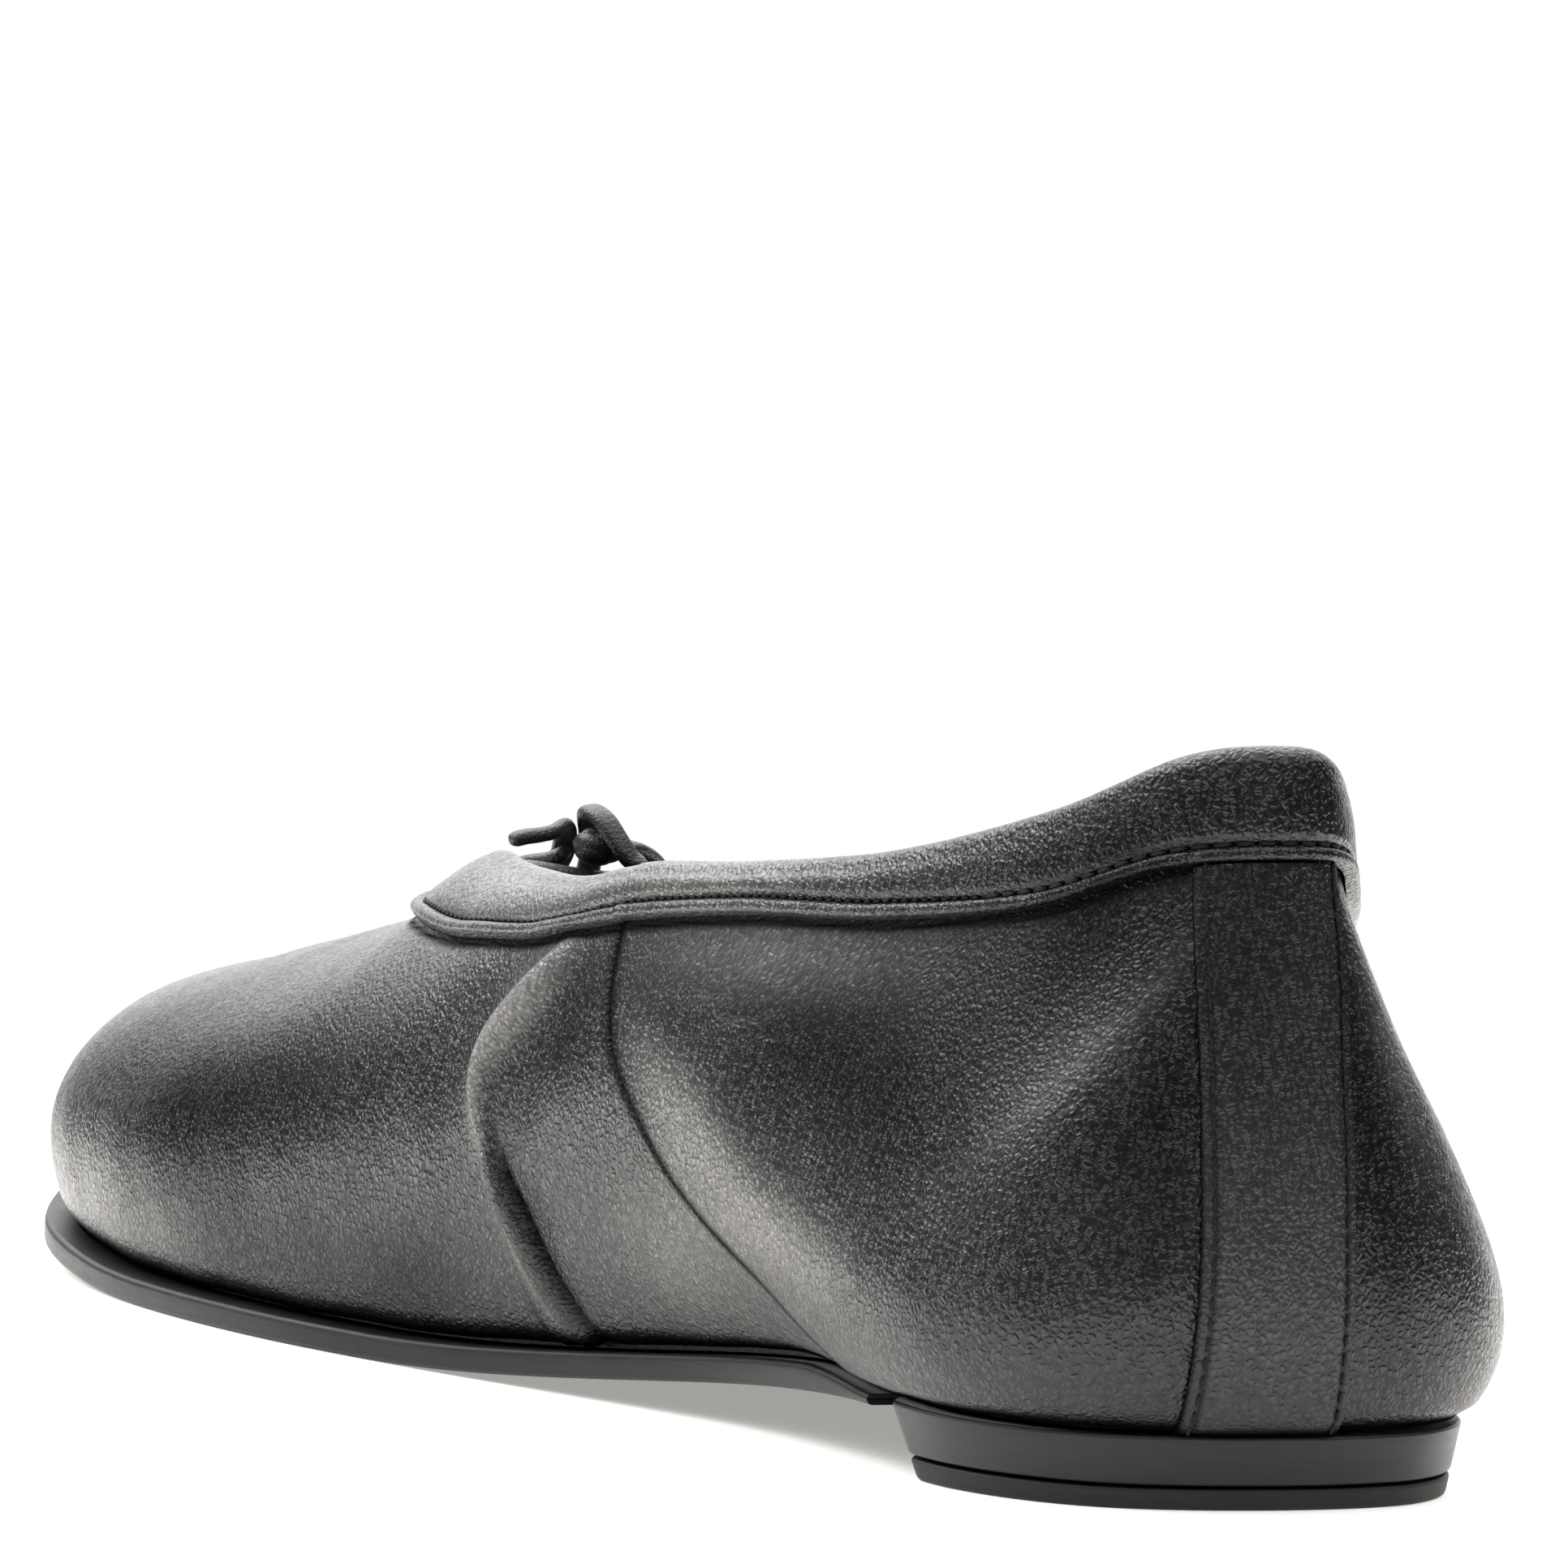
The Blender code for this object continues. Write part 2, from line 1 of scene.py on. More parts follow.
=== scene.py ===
"""Dress a woman's black leather ballet flat, left foot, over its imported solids.

Metres, +Z up, the toe towards +Y and the outer side of the foot towards -X. Distances along the shoe are
counted from the back of the sole while a piece is worked out, and moved to the frame's origin at the end.
"""

import logging
import math
from collections import namedtuple
from collections.abc import Callable
from dataclasses import dataclass
from enum import Enum

import bmesh
import bpy
import numpy as np
from mathutils import Matrix, Vector


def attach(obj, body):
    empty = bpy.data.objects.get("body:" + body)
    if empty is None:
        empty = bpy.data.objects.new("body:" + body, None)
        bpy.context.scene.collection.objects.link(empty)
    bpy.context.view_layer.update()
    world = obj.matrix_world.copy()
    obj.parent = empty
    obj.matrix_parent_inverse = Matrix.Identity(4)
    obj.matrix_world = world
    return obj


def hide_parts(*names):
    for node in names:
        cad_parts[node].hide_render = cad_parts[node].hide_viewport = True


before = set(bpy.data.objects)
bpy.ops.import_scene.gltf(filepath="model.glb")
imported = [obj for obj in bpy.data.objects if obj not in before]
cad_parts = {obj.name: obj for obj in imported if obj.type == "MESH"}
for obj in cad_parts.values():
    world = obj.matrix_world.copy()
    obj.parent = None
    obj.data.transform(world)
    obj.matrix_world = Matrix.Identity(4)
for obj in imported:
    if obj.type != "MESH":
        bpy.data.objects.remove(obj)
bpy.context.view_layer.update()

LOG = logging.getLogger("ballet_flat")

# One row for each station round the shoe, from the back seam along the outer side to the toe and back along
# the inner side. Along and across are shares of the sole's or the collar's length and half width, height is
# a share of the back height, tuck a share of the feather inset and band a share of the band's width. Spring
# and lean are the wall's slopes in degrees at the sole and at the collar, and rise and fall say how far the
# wall keeps them, as shares of the straight way from sole to collar.
Station = namedtuple(
    "Station", "sole_along sole_across tuck spring rise rim_along rim_across height lean fall band"
)
STATIONS = (
    Station(0.000, 0.010, 0.3, 66, 0.28, 0.000, -0.045, 1.000, 87, 0.44, 1.00),
    Station(0.018, -0.380, 0.3, 52, 0.30, 0.024, -0.300, 0.982, 87, 0.44, 1.00),
    Station(0.080, -0.580, 0.3, 42, 0.32, 0.105, -0.520, 0.898, 84, 0.42, 0.92),
    Station(0.180, -0.580, 0.4, 42, 0.35, 0.228, -0.740, 0.818, 74, 0.36, 0.68),
    Station(0.280, -0.605, 0.7, 44, 0.38, 0.352, -0.910, 0.774, 66, 0.32, 0.54),
    Station(0.380, -0.727, 1.0, 56, 0.38, 0.488, -1.000, 0.744, 60, 0.30, 0.60),
    Station(0.480, -0.875, 1.0, 60, 0.36, 0.612, -1.010, 0.714, 52, 0.32, 0.76),
    Station(0.580, -1.000, 1.0, 64, 0.35, 0.728, -0.940, 0.688, 42, 0.34, 0.96),
    Station(0.680, -1.050, 1.0, 66, 0.35, 0.826, -0.780, 0.670, 34, 0.38, 1.04),
    Station(0.780, -1.025, 1.0, 66, 0.33, 0.896, -0.560, 0.654, 28, 0.40, 1.05),
    Station(0.868, -0.915, 1.0, 66, 0.31, 0.948, -0.350, 0.636, 24, 0.44, 1.06),
    Station(0.946, -0.620, 1.0, 68, 0.30, 0.984, -0.170, 0.620, 20, 0.48, 1.06),
    Station(0.992, -0.150, 1.0, 70, 0.30, 1.000, -0.010, 0.610, 18, 0.50, 1.06),
    Station(0.992, 0.270, 1.0, 70, 0.30, 0.996, 0.140, 0.612, 18, 0.50, 1.06),
    Station(0.952, 0.602, 1.0, 70, 0.31, 0.976, 0.300, 0.620, 20, 0.47, 1.06),
    Station(0.880, 0.830, 1.0, 70, 0.32, 0.934, 0.490, 0.630, 24, 0.43, 1.04),
    Station(0.790, 0.950, 1.0, 70, 0.33, 0.868, 0.680, 0.642, 30, 0.40, 0.98),
    Station(0.686, 0.955, 1.0, 68, 0.34, 0.784, 0.840, 0.656, 38, 0.37, 0.88),
    Station(0.580, 0.850, 1.0, 62, 0.36, 0.682, 0.940, 0.668, 48, 0.34, 0.76),
    Station(0.480, 0.682, 1.0, 54, 0.38, 0.574, 0.970, 0.686, 54, 0.32, 0.64),
    Station(0.380, 0.545, 0.9, 46, 0.40, 0.460, 0.940, 0.710, 60, 0.30, 0.58),
    Station(0.280, 0.489, 0.7, 42, 0.40, 0.338, 0.830, 0.746, 66, 0.32, 0.62),
    Station(0.180, 0.545, 0.4, 42, 0.36, 0.222, 0.650, 0.804, 76, 0.38, 0.74),
    Station(0.080, 0.605, 0.3, 42, 0.32, 0.105, 0.400, 0.898, 88, 0.44, 0.92),
    Station(0.018, 0.400, 0.3, 52, 0.30, 0.024, 0.170, 0.982, 87, 0.44, 1.00),
)
STATION_COUNT = len(STATIONS)
TOE_STATION = STATION_COUNT / 2

# The seam between vamp and quarter: its station at even steps from the sole up to the collar, counted from
# the back on either side.
SEAM = (2.75, 3.42, 4.18, 4.74, 5.03, 5.14)

# The two laces of the bow. Their points are counted from the knot's middle.
Spot = namedtuple("Spot", "across along height")
LACE_ROUTES = {
    "bow_lace_inner": (
        Spot(0.0028, 0.0011, -0.0001),
        Spot(0.0052, 0.0030, -0.0006),
        Spot(0.0082, 0.0062, -0.0020),
        Spot(0.0110, 0.0098, -0.0043),
        Spot(0.0125, 0.0138, -0.0062),
        Spot(0.0109, 0.0173, -0.0068),
        Spot(0.0074, 0.0179, -0.0067),
        Spot(0.0048, 0.0150, -0.0056),
        Spot(0.0034, 0.0112, -0.0037),
        Spot(0.0023, 0.0078, -0.0015),
        Spot(0.0010, 0.0049, 0.0009),
        Spot(-0.0003, 0.0023, 0.0029),
        Spot(-0.0009, -0.0002, 0.0034),
        Spot(-0.0004, -0.0025, 0.0026),
        Spot(0.0006, -0.0039, 0.0006),
        Spot(0.0018, -0.0043, -0.0010),
        Spot(0.0034, -0.0039, -0.0015),
    ),
    "bow_lace_outer": (
        Spot(-0.0025, 0.0020, -0.0007),
        Spot(-0.0037, 0.0038, -0.0016),
        Spot(-0.0050, 0.0064, -0.0022),
        Spot(-0.0061, 0.0090, -0.0033),
        Spot(-0.0066, 0.0118, -0.0048),
        Spot(-0.0058, 0.0148, -0.0060),
        Spot(-0.0034, 0.0162, -0.0063),
        Spot(-0.0013, 0.0144, -0.0055),
        Spot(-0.0007, 0.0112, -0.0038),
        Spot(-0.0008, 0.0078, -0.0015),
        Spot(-0.0017, 0.0049, 0.0008),
        Spot(-0.0031, 0.0026, 0.0016),
        Spot(-0.0047, 0.0009, 0.0013),
        Spot(-0.0064, 0.0001, 0.0011),
        Spot(-0.0080, 0.0000, 0.0009),
        Spot(-0.0095, 0.0001, 0.0005),
    ),
}


def smooth_step(value: np.ndarray) -> np.ndarray:
    """Ease from 0 to 1 as the value goes from 0 to 1."""
    part = np.clip(value, 0.0, 1.0)
    return part * part * (3.0 - 2.0 * part)


def smooth_curve(
    before: np.ndarray, here: np.ndarray, after: np.ndarray, beyond: np.ndarray, part: np.ndarray | float
) -> np.ndarray:
    """Find a point between the two middle values of four on a smooth curve through them.

    Args:
        before: The value before the stretch.
        here: The value where the stretch starts.
        after: The value where the stretch ends.
        beyond: The value after the stretch.
        part: The share of the stretch, from 0 to 1.

    Returns:
        The value or values at that share.
    """
    bend = 2.0 * before - 5.0 * here + 4.0 * after - beyond
    twist = -before + 3.0 * here - 3.0 * after + beyond
    return 0.5 * (2.0 * here + (after - before) * part + bend * part**2 + twist * part**3)


def smooth_line(points: np.ndarray, steps: int) -> np.ndarray:
    """Run a smooth open curve through points.

    Args:
        points: The points, a row for each.
        steps: How many pieces each stretch is cut into.

    Returns:
        The points of the curve, a row for each.
    """
    rows = np.concatenate([[2 * points[0] - points[1]], points, [2 * points[-1] - points[-2]]])
    line = [
        smooth_curve(*rows[start : start + 4], part)
        for start in range(len(points) - 1)
        for part in np.linspace(0.0, 1.0, steps, endpoint=False)
    ]
    return np.array([*line, points[-1]])


def unit(vectors: np.ndarray) -> np.ndarray:
    """Scale vectors to length 1."""
    return vectors / (np.linalg.norm(vectors, axis=-1, keepdims=True) + 1e-12)


class Side(Enum):
    """The two sides of the shoe."""

    OUTER = "outer"
    INNER = "inner"


class Panel(Enum):
    """The two leather panels of the upper on each side."""

    QUARTER = "quarter"
    VAMP = "vamp"


class FoldKind(Enum):
    """How a crease in the leather is shaped across its line."""

    SOFT = "soft"
    LAP = "lap"


@dataclass(frozen=True)
class Last:
    """The sizes of the last and bottom, and the surfaces that follow from them."""

    sole_length: float = 0.250
    ball_width: float = 0.088
    back_height: float = 0.0705
    collar_length: float = 0.1625
    collar_width: float = 0.058
    collar_setback: float = 0.0040
    lift_thickness: float = 0.0020
    block_thickness: float = 0.0047
    outsole_thickness: float = 0.0026
    heel_length: float = 0.037
    heel_taper: float = 0.0013
    breast_lean: float = 0.0042
    breast_round: float = 0.007
    arch_lift: float = 0.0059
    ball_flat_start: float = 0.130
    ball_flat_end: float = 0.174
    toe_spring: float = 0.0080
    seat_blend: float = 0.018
    feather_inset: float = 0.0022
    gap: float = 0.0003
    station_reach: float = 0.01
    way_reach: float = 0.01

    def column(self, at: np.ndarray, name: str) -> np.ndarray:
        """Read one column of the station table on a smooth closed curve through its rows.

        Args:
            at: The stations.
            name: The column's name.

        Returns:
            The column's value at each station.
        """
        rows = np.array([getattr(row, name) for row in STATIONS])
        start = np.floor(at).astype(int)
        near = (rows[(start + step) % STATION_COUNT] for step in (-1, 0, 1, 2))
        return smooth_curve(*near, at - start)

    def sole_outline(self, at: np.ndarray) -> np.ndarray:
        """Return the sole's outline in plan."""
        across = self.column(at, "sole_across") * self.ball_width / 2
        return np.stack([across, self.column(at, "sole_along") * self.sole_length], axis=-1)

    def rim_outline(self, at: np.ndarray) -> np.ndarray:
        """Return the collar's edge in plan.

        Args:
            at: The stations.

        Returns:
            The places across and along, a pair for each station.
        """
        across = self.column(at, "rim_across") * self.collar_width / 2
        along = self.collar_setback + self.column(at, "rim_along") * self.collar_length
        return np.stack([across, along], axis=-1)

    def plan_normal(self, curve: Callable, at: np.ndarray) -> np.ndarray:
        """Return the outward level direction of a plan curve, which runs clockwise seen from above."""
        run = unit(curve(at + self.station_reach) - curve(at - self.station_reach))
        return np.stack([-run[..., 1], run[..., 0]], axis=-1)

    def sole_underside(self, along: np.ndarray) -> np.ndarray:
        """Return the height of the outsole's underside.

        Args:
            along: The distances along the shoe, in metres.

        Returns:
            The heights, in metres.
        """
        fall = (self.ball_flat_start - along) / (self.ball_flat_start - self.heel_length)
        ahead = np.clip((along - self.ball_flat_end) / (self.sole_length - self.ball_flat_end), 0.0, None)
        return self.arch_lift * smooth_step(fall) + self.toe_spring * ahead**2

    def seat_height(self, along: np.ndarray) -> np.ndarray:
        """Return the height of what the foot's seat rests on.

        Args:
            along: The distances along the shoe, in metres.

        Returns:
            The heights, in metres.
        """
        seat = self.lift_thickness + self.gap + self.block_thickness
        forward = smooth_step((along - self.heel_length) / self.seat_blend)
        return seat + forward * (self.sole_underside(along) + self.outsole_thickness - seat)

    def feather_edge(self, at: np.ndarray) -> np.ndarray:
        """Return the wall's foot, tucked in from the sole's edge.

        Args:
            at: The stations.

        Returns:
            The points, the three axes last.
        """
        inset = self.column(at, "tuck") * self.feather_inset
        plan = self.sole_outline(at) - self.plan_normal(self.sole_outline, at) * inset[..., None]
        height = self.seat_height(plan[..., 1]) + self.gap
        return np.concatenate([plan, height[..., None]], axis=-1)

    def rim_edge(self, at: np.ndarray) -> np.ndarray:
        """Return the collar's edge in space."""
        height = self.column(at, "height") * self.back_height
        return np.concatenate([self.rim_outline(at), height[..., None]], axis=-1)

    def lift_direction(self, curve: Callable, at: np.ndarray, angle_column: str) -> np.ndarray:
        """Return a unit direction that leaves a plan curve outwards at a column's angle above the level.

        Args:
            curve: The method that gives the plan curve.
            at: The stations.
            angle_column: The column with the angles, in degrees.

        Returns:
            The directions, the three axes last.
        """
        angle = np.radians(self.column(at, angle_column))
        level = self.plan_normal(curve, at) * np.cos(angle)[..., None]
        return np.concatenate([level, np.sin(angle)[..., None]], axis=-1)

    def wall_point(self, at: np.ndarray, way: np.ndarray) -> np.ndarray:
        """Find the outer face of the vamp's leather.

        Args:
            at: The stations.
            way: The shares of the way from sole to collar.

        Returns:
            The points of the wall, in the shape of the stations with the three axes last.
        """
        foot = self.feather_edge(at)
        rim = self.rim_edge(at)
        reach = np.linalg.norm(rim - foot, axis=-1)
        foot_reach = (self.column(at, "rise") * reach)[..., None]
        rim_reach = (self.column(at, "fall") * reach)[..., None]
        low = foot + foot_reach * self.lift_direction(self.sole_outline, at, "spring")
        down_again = np.array([1.0, 1.0, -1.0])
        high = rim + rim_reach * self.lift_direction(self.rim_outline, at, "lean") * down_again
        up = np.asarray(way)[..., None]
        down = 1.0 - up
        return down**3 * foot + 3 * down**2 * up * low + 3 * down * up**2 * high + up**3 * rim

    def wall_normal(self, at: np.ndarray, way: np.ndarray) -> np.ndarray:
        """Return the wall's outward direction at stations and shares of the way up.

        Args:
            at: The stations.
            way: The shares of the way from sole to collar.

        Returns:
            The directions, the three axes last.
        """
        along = self.wall_point(at + self.station_reach, way) - self.wall_point(at - self.station_reach, way)
        upward = self.wall_point(at, way + self.way_reach) - self.wall_point(at, way - self.way_reach)
        return unit(np.cross(upward, along))

    def skin(self, at: np.ndarray, way: np.ndarray, offset: np.ndarray) -> np.ndarray:
        """Return the wall moved outwards by an offset, and never below what its foot stands on.

        Args:
            at: The stations.
            way: The shares of the way from sole to collar.
            offset: The move outwards, in metres.

        Returns:
            The points, the three axes last.
        """
        points = self.wall_point(at, way) + self.wall_normal(at, way) * np.asarray(offset)[..., None]
        points[..., 2] = np.maximum(points[..., 2], self.seat_height(points[..., 1]) + self.gap)
        return points

    def to_frame(self, points: np.ndarray) -> np.ndarray:
        """Move points that are counted from the sole's back to the frame's origin."""
        return np.asarray(points) - np.array([0.0, self.heel_length / 2, 0.0])


@dataclass(frozen=True)
class Fold:
    """A soft ridge, trough or lapped crease along a line on the wall.

    The spots give a station, a share of the way up and a share of the rise. The front width lies on the
    side that comes later round the shoe. A lapped crease's cleft carries painted shade, and a fold may
    carry a painted highlight along its crest.
    """

    spots: tuple[tuple[float, float, float], ...]
    rise: float
    front: float
    back: float
    kind: FoldKind = FoldKind.SOFT
    lip: float = 0.0008
    crest_highlight: float = 0.0
    reach: float = 3.0
    cleft_shift: float = 0.1
    cleft_width: float = 0.42
    lip_highlight: float = 0.0006
    crest_width: float = 0.55
    flap_start: float = 0.75
    hollow: float = 0.45

    def measure(
        self, last: Last, points: np.ndarray, normals: np.ndarray
    ) -> tuple[np.ndarray, np.ndarray, np.ndarray]:
        """Measure how far the wall's points lie from the fold's line.

        Args:
            last: The last that carries the fold.
            points: The wall's points, a row for each.
            normals: The wall's directions at those points.

        Returns:
            The numbers of the points close to the line, their distances with the front side's positive, and
            the share of the rise there.
        """
        line = smooth_line(np.array(self.spots), 10)
        places = last.wall_point(line[:, 0], np.clip(line[:, 1], 0.0, 1.0))
        runs = unit(np.gradient(places, axis=0))
        reach = self.reach * max(self.front, self.back)
        inside = (points > places.min(axis=0) - reach) & (points < places.max(axis=0) + reach)
        close = np.where(np.all(inside, axis=1))[0]
        away = points[close][:, None, :] - places[None, :, :]
        nearest = np.argmin(np.einsum("ijk,ijk->ij", away, away), axis=1)
        away = away[np.arange(len(close)), nearest]
        run = runs[nearest]
        along = np.where((nearest > 0) & (nearest < len(places) - 1), np.einsum("ij,ij->i", away, run), 0.0)
        distance = np.linalg.norm(away - along[:, None] * run, axis=1)
        front = np.einsum("ij,ij->i", away, np.cross(run, normals[close])) > 0.0
        return close, np.where(front, distance, -distance), np.clip(line[nearest, 2], 0.0, None)

    def height(self, last: Last, points: np.ndarray, normals: np.ndarray) -> np.ndarray:
        """Return how far the fold moves each point of the wall outwards.

        Args:
            last: The last that carries the fold.
            points: The wall's points, a row for each.
            normals: The wall's directions at those points.

        Returns:
            The moves, in metres.
        """
        close, signed, share = self.measure(last, points, normals)
        move = np.zeros(len(points))
        move[close] = self.rise * share * self.profile(signed)
        return move

    def shade(self, last: Last, points: np.ndarray, normals: np.ndarray) -> np.ndarray:
        """Return how deep in the fold's cleft each point of the wall lies, from 0 to 1.

        Args:
            last: The last that carries the fold.
            points: The wall's points, a row for each.
            normals: The wall's directions at those points.

        Returns:
            The depths.
        """
        close, signed, share = self.measure(last, points, normals)
        depth = np.zeros(len(points))
        away = (signed + self.cleft_shift * self.lip) / (self.cleft_width * self.lip)
        depth[close] = share * np.exp(-(away**2))
        return depth

    def highlight_cover(self, last: Last, points: np.ndarray, normals: np.ndarray) -> np.ndarray:
        """Return how strongly a painted highlight lies along the fold's crest at each point of the wall.

        Args:
            last: The last that carries the fold.
            points: The wall's points, a row for each.
            normals: The wall's directions at those points.

        Returns:
            The strengths, from 0 to 1.
        """
        close, signed, share = self.measure(last, points, normals)
        cover = np.zeros(len(points))
        crest = signed - (self.front if self.kind is FoldKind.LAP else 0.0)
        width = self.lip_highlight if self.kind is FoldKind.LAP else self.crest_width * self.back
        cover[close] = self.crest_highlight * share * np.exp(-((crest / width) ** 2))
        return cover

    def profile(self, signed: np.ndarray) -> np.ndarray:
        """Return the fold's shape across its line, at most 1 high, at distances with their sides' signs.

        Args:
            signed: The distances, the front side's positive.

        Returns:
            The heights.
        """
        width = np.where(signed > 0.0, self.front, self.back)
        if self.kind is FoldKind.SOFT:
            return np.exp(-((signed / width) ** 2))
        slope = self.flap_start + (1.0 - self.flap_start) * signed / self.front
        flap = smooth_step((self.front - signed) / self.lip) * slope
        cleft = smooth_step((self.lip - np.abs(signed)) / self.lip)
        hollow = -self.hollow * np.exp(-((signed / self.back) ** 2))
        return np.where(signed > 0.0, flap, hollow) - cleft


# The creases of the leather, read off the shoe by station and share of the way up. The outer side's come
# first, then the toe's and the inner side's.
FOLDS = (
    Fold(
        ((5.56, 0.47, 0.0), (5.46, 0.40, 0.4), (5.36, 0.33, 0.9), (5.24, 0.26, 1.0), (5.13, 0.18, 1.0),
         (5.04, 0.10, 1.0), (4.97, 0.03, 0.9), (4.94, -0.03, 0.9)),
        rise=0.00075, front=0.0031, back=0.0028, kind=FoldKind.LAP, lip=0.00095, crest_highlight=0.55,
    ),
    Fold(
        ((5.60, 0.48, 0.0), (5.50, 0.38, 0.7), (5.40, 0.30, 1.0), (5.30, 0.20, 1.0), (5.22, 0.10, 1.0),
         (5.14, -0.02, 0.8)),
        rise=0.00060, front=0.0012, back=0.0030,
    ),
    Fold(
        ((5.46, 0.87, 0.0), (5.55, 0.79, 0.5), (5.68, 0.70, 0.9), (5.76, 0.61, 1.0), (5.74, 0.53, 0.8),
         (5.62, 0.44, 0.3), (5.52, 0.38, 0.0)),
        rise=0.0016, front=0.0016, back=0.0025, crest_highlight=1.0,
    ),
    Fold(
        ((5.75, 0.86, 0.0), (5.98, 0.76, 0.7), (6.05, 0.64, 1.0), (6.00, 0.54, 0.6), (5.85, 0.44, 0.0)),
        rise=-0.00075, front=0.0055, back=0.0024,
    ),
    Fold(
        ((5.25, 0.80, 0.0), (5.38, 0.70, 0.8), (5.42, 0.60, 1.0), (5.35, 0.50, 0.7), (5.22, 0.40, 0.0)),
        rise=-0.00055, front=0.0026, back=0.0045,
    ),
    Fold(
        ((4.80, 0.66, 0.0), (4.92, 0.58, 0.8), (4.98, 0.48, 1.0), (4.96, 0.38, 0.7), (4.86, 0.28, 0.0)),
        rise=0.00050, front=0.0060, back=0.0060,
    ),
    Fold(
        ((4.15, 0.74, 0.0), (4.05, 0.62, 0.9), (3.72, 0.48, 1.0), (3.25, 0.36, 0.9), (2.62, 0.27, 0.0)),
        rise=0.00070, front=0.0090, back=0.0075,
    ),
    Fold(
        ((3.80, 0.80, 0.0), (3.30, 0.64, 0.8), (2.70, 0.50, 1.0), (2.10, 0.38, 0.7), (1.70, 0.28, 0.0)),
        rise=-0.00075, front=0.0100, back=0.0120,
    ),
    Fold(
        ((0.72, 0.86, 0.0), (0.92, 0.76, 0.8), (1.15, 0.64, 1.0), (1.45, 0.52, 0.9), (1.80, 0.40, 0.0)),
        rise=0.00080, front=0.0060, back=0.0052,
    ),
    Fold(
        ((0.60, 0.70, 0.0), (0.72, 0.58, 0.8), (0.92, 0.46, 1.0), (1.15, 0.34, 0.6), (1.35, 0.24, 0.0)),
        rise=-0.00055, front=0.0050, back=0.0060,
    ),
    Fold(
        ((10.2, 0.66, 0.0), (10.9, 0.62, 0.8), (11.7, 0.60, 1.0), (12.6, 0.60, 1.0), (13.6, 0.62, 0.7),
         (14.6, 0.66, 0.0)),
        rise=-0.00065, front=0.0075, back=0.0075,
    ),
    Fold(
        ((8.6, 0.58, 0.0), (9.3, 0.68, 0.8), (10.0, 0.76, 1.0), (10.6, 0.82, 0.5), (11.0, 0.86, 0.0)),
        rise=0.00035, front=0.0080, back=0.0060,
    ),
    Fold(
        ((18.6, 0.84, 0.0), (18.5, 0.70, 0.8), (18.4, 0.54, 1.0), (18.6, 0.38, 0.8), (19.0, 0.22, 0.0)),
        rise=0.00055, front=0.0030, back=0.0045,
    ),
    Fold(
        ((18.2, 0.80, 0.0), (18.1, 0.64, 0.9), (18.1, 0.46, 0.8), (18.4, 0.30, 0.0)),
        rise=-0.00050, front=0.0034, back=0.0060,
    ),
    Fold(
        ((20.6, 0.78, 0.0), (21.0, 0.62, 0.9), (21.6, 0.48, 1.0), (22.4, 0.36, 0.0)),
        rise=0.00055, front=0.0085, back=0.0085,
    ),
    Fold(
        ((24.3, 0.84, 0.0), (24.1, 0.74, 0.8), (23.9, 0.62, 1.0), (23.6, 0.50, 0.8), (23.2, 0.38, 0.0)),
        rise=0.00070, front=0.0060, back=0.0060,
    ),
)


@dataclass(frozen=True)
class Patch:
    """A soft-edged place on the wall where painted shade darkens the leather or a painted highlight lightens
    it.

    Along and upward are its reaches as stations and as a share of the way up. The slant says how many
    stations it leans for a full way up.
    """

    station: float
    way: float
    along: float
    upward: float
    strength: float
    slant: float = 0.0

    def cover(self, at: np.ndarray, way: np.ndarray) -> np.ndarray:
        """Return how strongly the patch covers each place.

        Args:
            at: The stations.
            way: The shares of the way from sole to collar.

        Returns:
            The strengths, from 0 to 1.
        """
        aside = at - self.station - self.slant * (way - self.way)
        aside = (aside + STATION_COUNT / 2) % STATION_COUNT - STATION_COUNT / 2
        return self.strength * np.exp(-((aside / self.along) ** 2) - ((way - self.way) / self.upward) ** 2)


# Patches of painted shade, which mix a black that gives almost nothing back into the leather.
PAINTED_SHADE_PATCHES = (
    Patch(8.15, 0.32, 0.75, 0.20, 0.50, 1.4),
    Patch(7.20, 0.44, 1.00, 0.18, 0.42, 1.0),
    Patch(6.90, 0.12, 1.10, 0.14, 0.36),
    Patch(5.95, 0.12, 0.35, 0.16, 0.25),
    Patch(3.25, 0.62, 0.75, 0.14, 0.30, 2.5),
    Patch(2.40, 0.58, 0.90, 0.22, 0.42, 1.5),
    Patch(5.15, 0.62, 0.22, 0.10, 0.30),
    Patch(0.80, 0.42, 0.22, 0.16, 0.35),
    Patch(0.85, 0.57, 0.20, 0.10, 0.30, -2.0),
    Patch(1.50, 0.82, 0.70, 0.15, 0.60, -1.0),
    Patch(9.60, 0.40, 0.60, 0.25, 0.30),
    Patch(24.45, 0.50, 0.18, 0.30, 0.45),
)
# Patches of painted highlight, which blend the leather towards a light grey.
PAINTED_HIGHLIGHT_PATCHES = (
    Patch(4.05, 0.50, 0.30, 0.12, 0.75, 3.2),
    Patch(3.20, 0.30, 0.55, 0.10, 0.80, 3.2),
    Patch(4.10, 0.22, 0.40, 0.12, 0.40),
    Patch(5.62, 0.66, 0.13, 0.13, 0.60, -1.2),
    Patch(3.70, 0.80, 0.90, 0.07, 0.50),
    Patch(4.60, 0.97, 1.00, 0.07, 0.75),
    Patch(6.60, 0.93, 0.90, 0.10, 0.95),
    Patch(23.60, 0.28, 0.22, 0.26, 0.40),
    Patch(24.00, 0.64, 0.16, 0.16, 0.35),
    Patch(1.30, 0.64, 0.14, 0.16, 0.26, -3.7),
)


@dataclass(frozen=True)
class Ripple:
    """A long low wave that leaves stretched leather slightly uneven."""

    across: float
    along: float
    upward: float
    turn: float
    rise: float


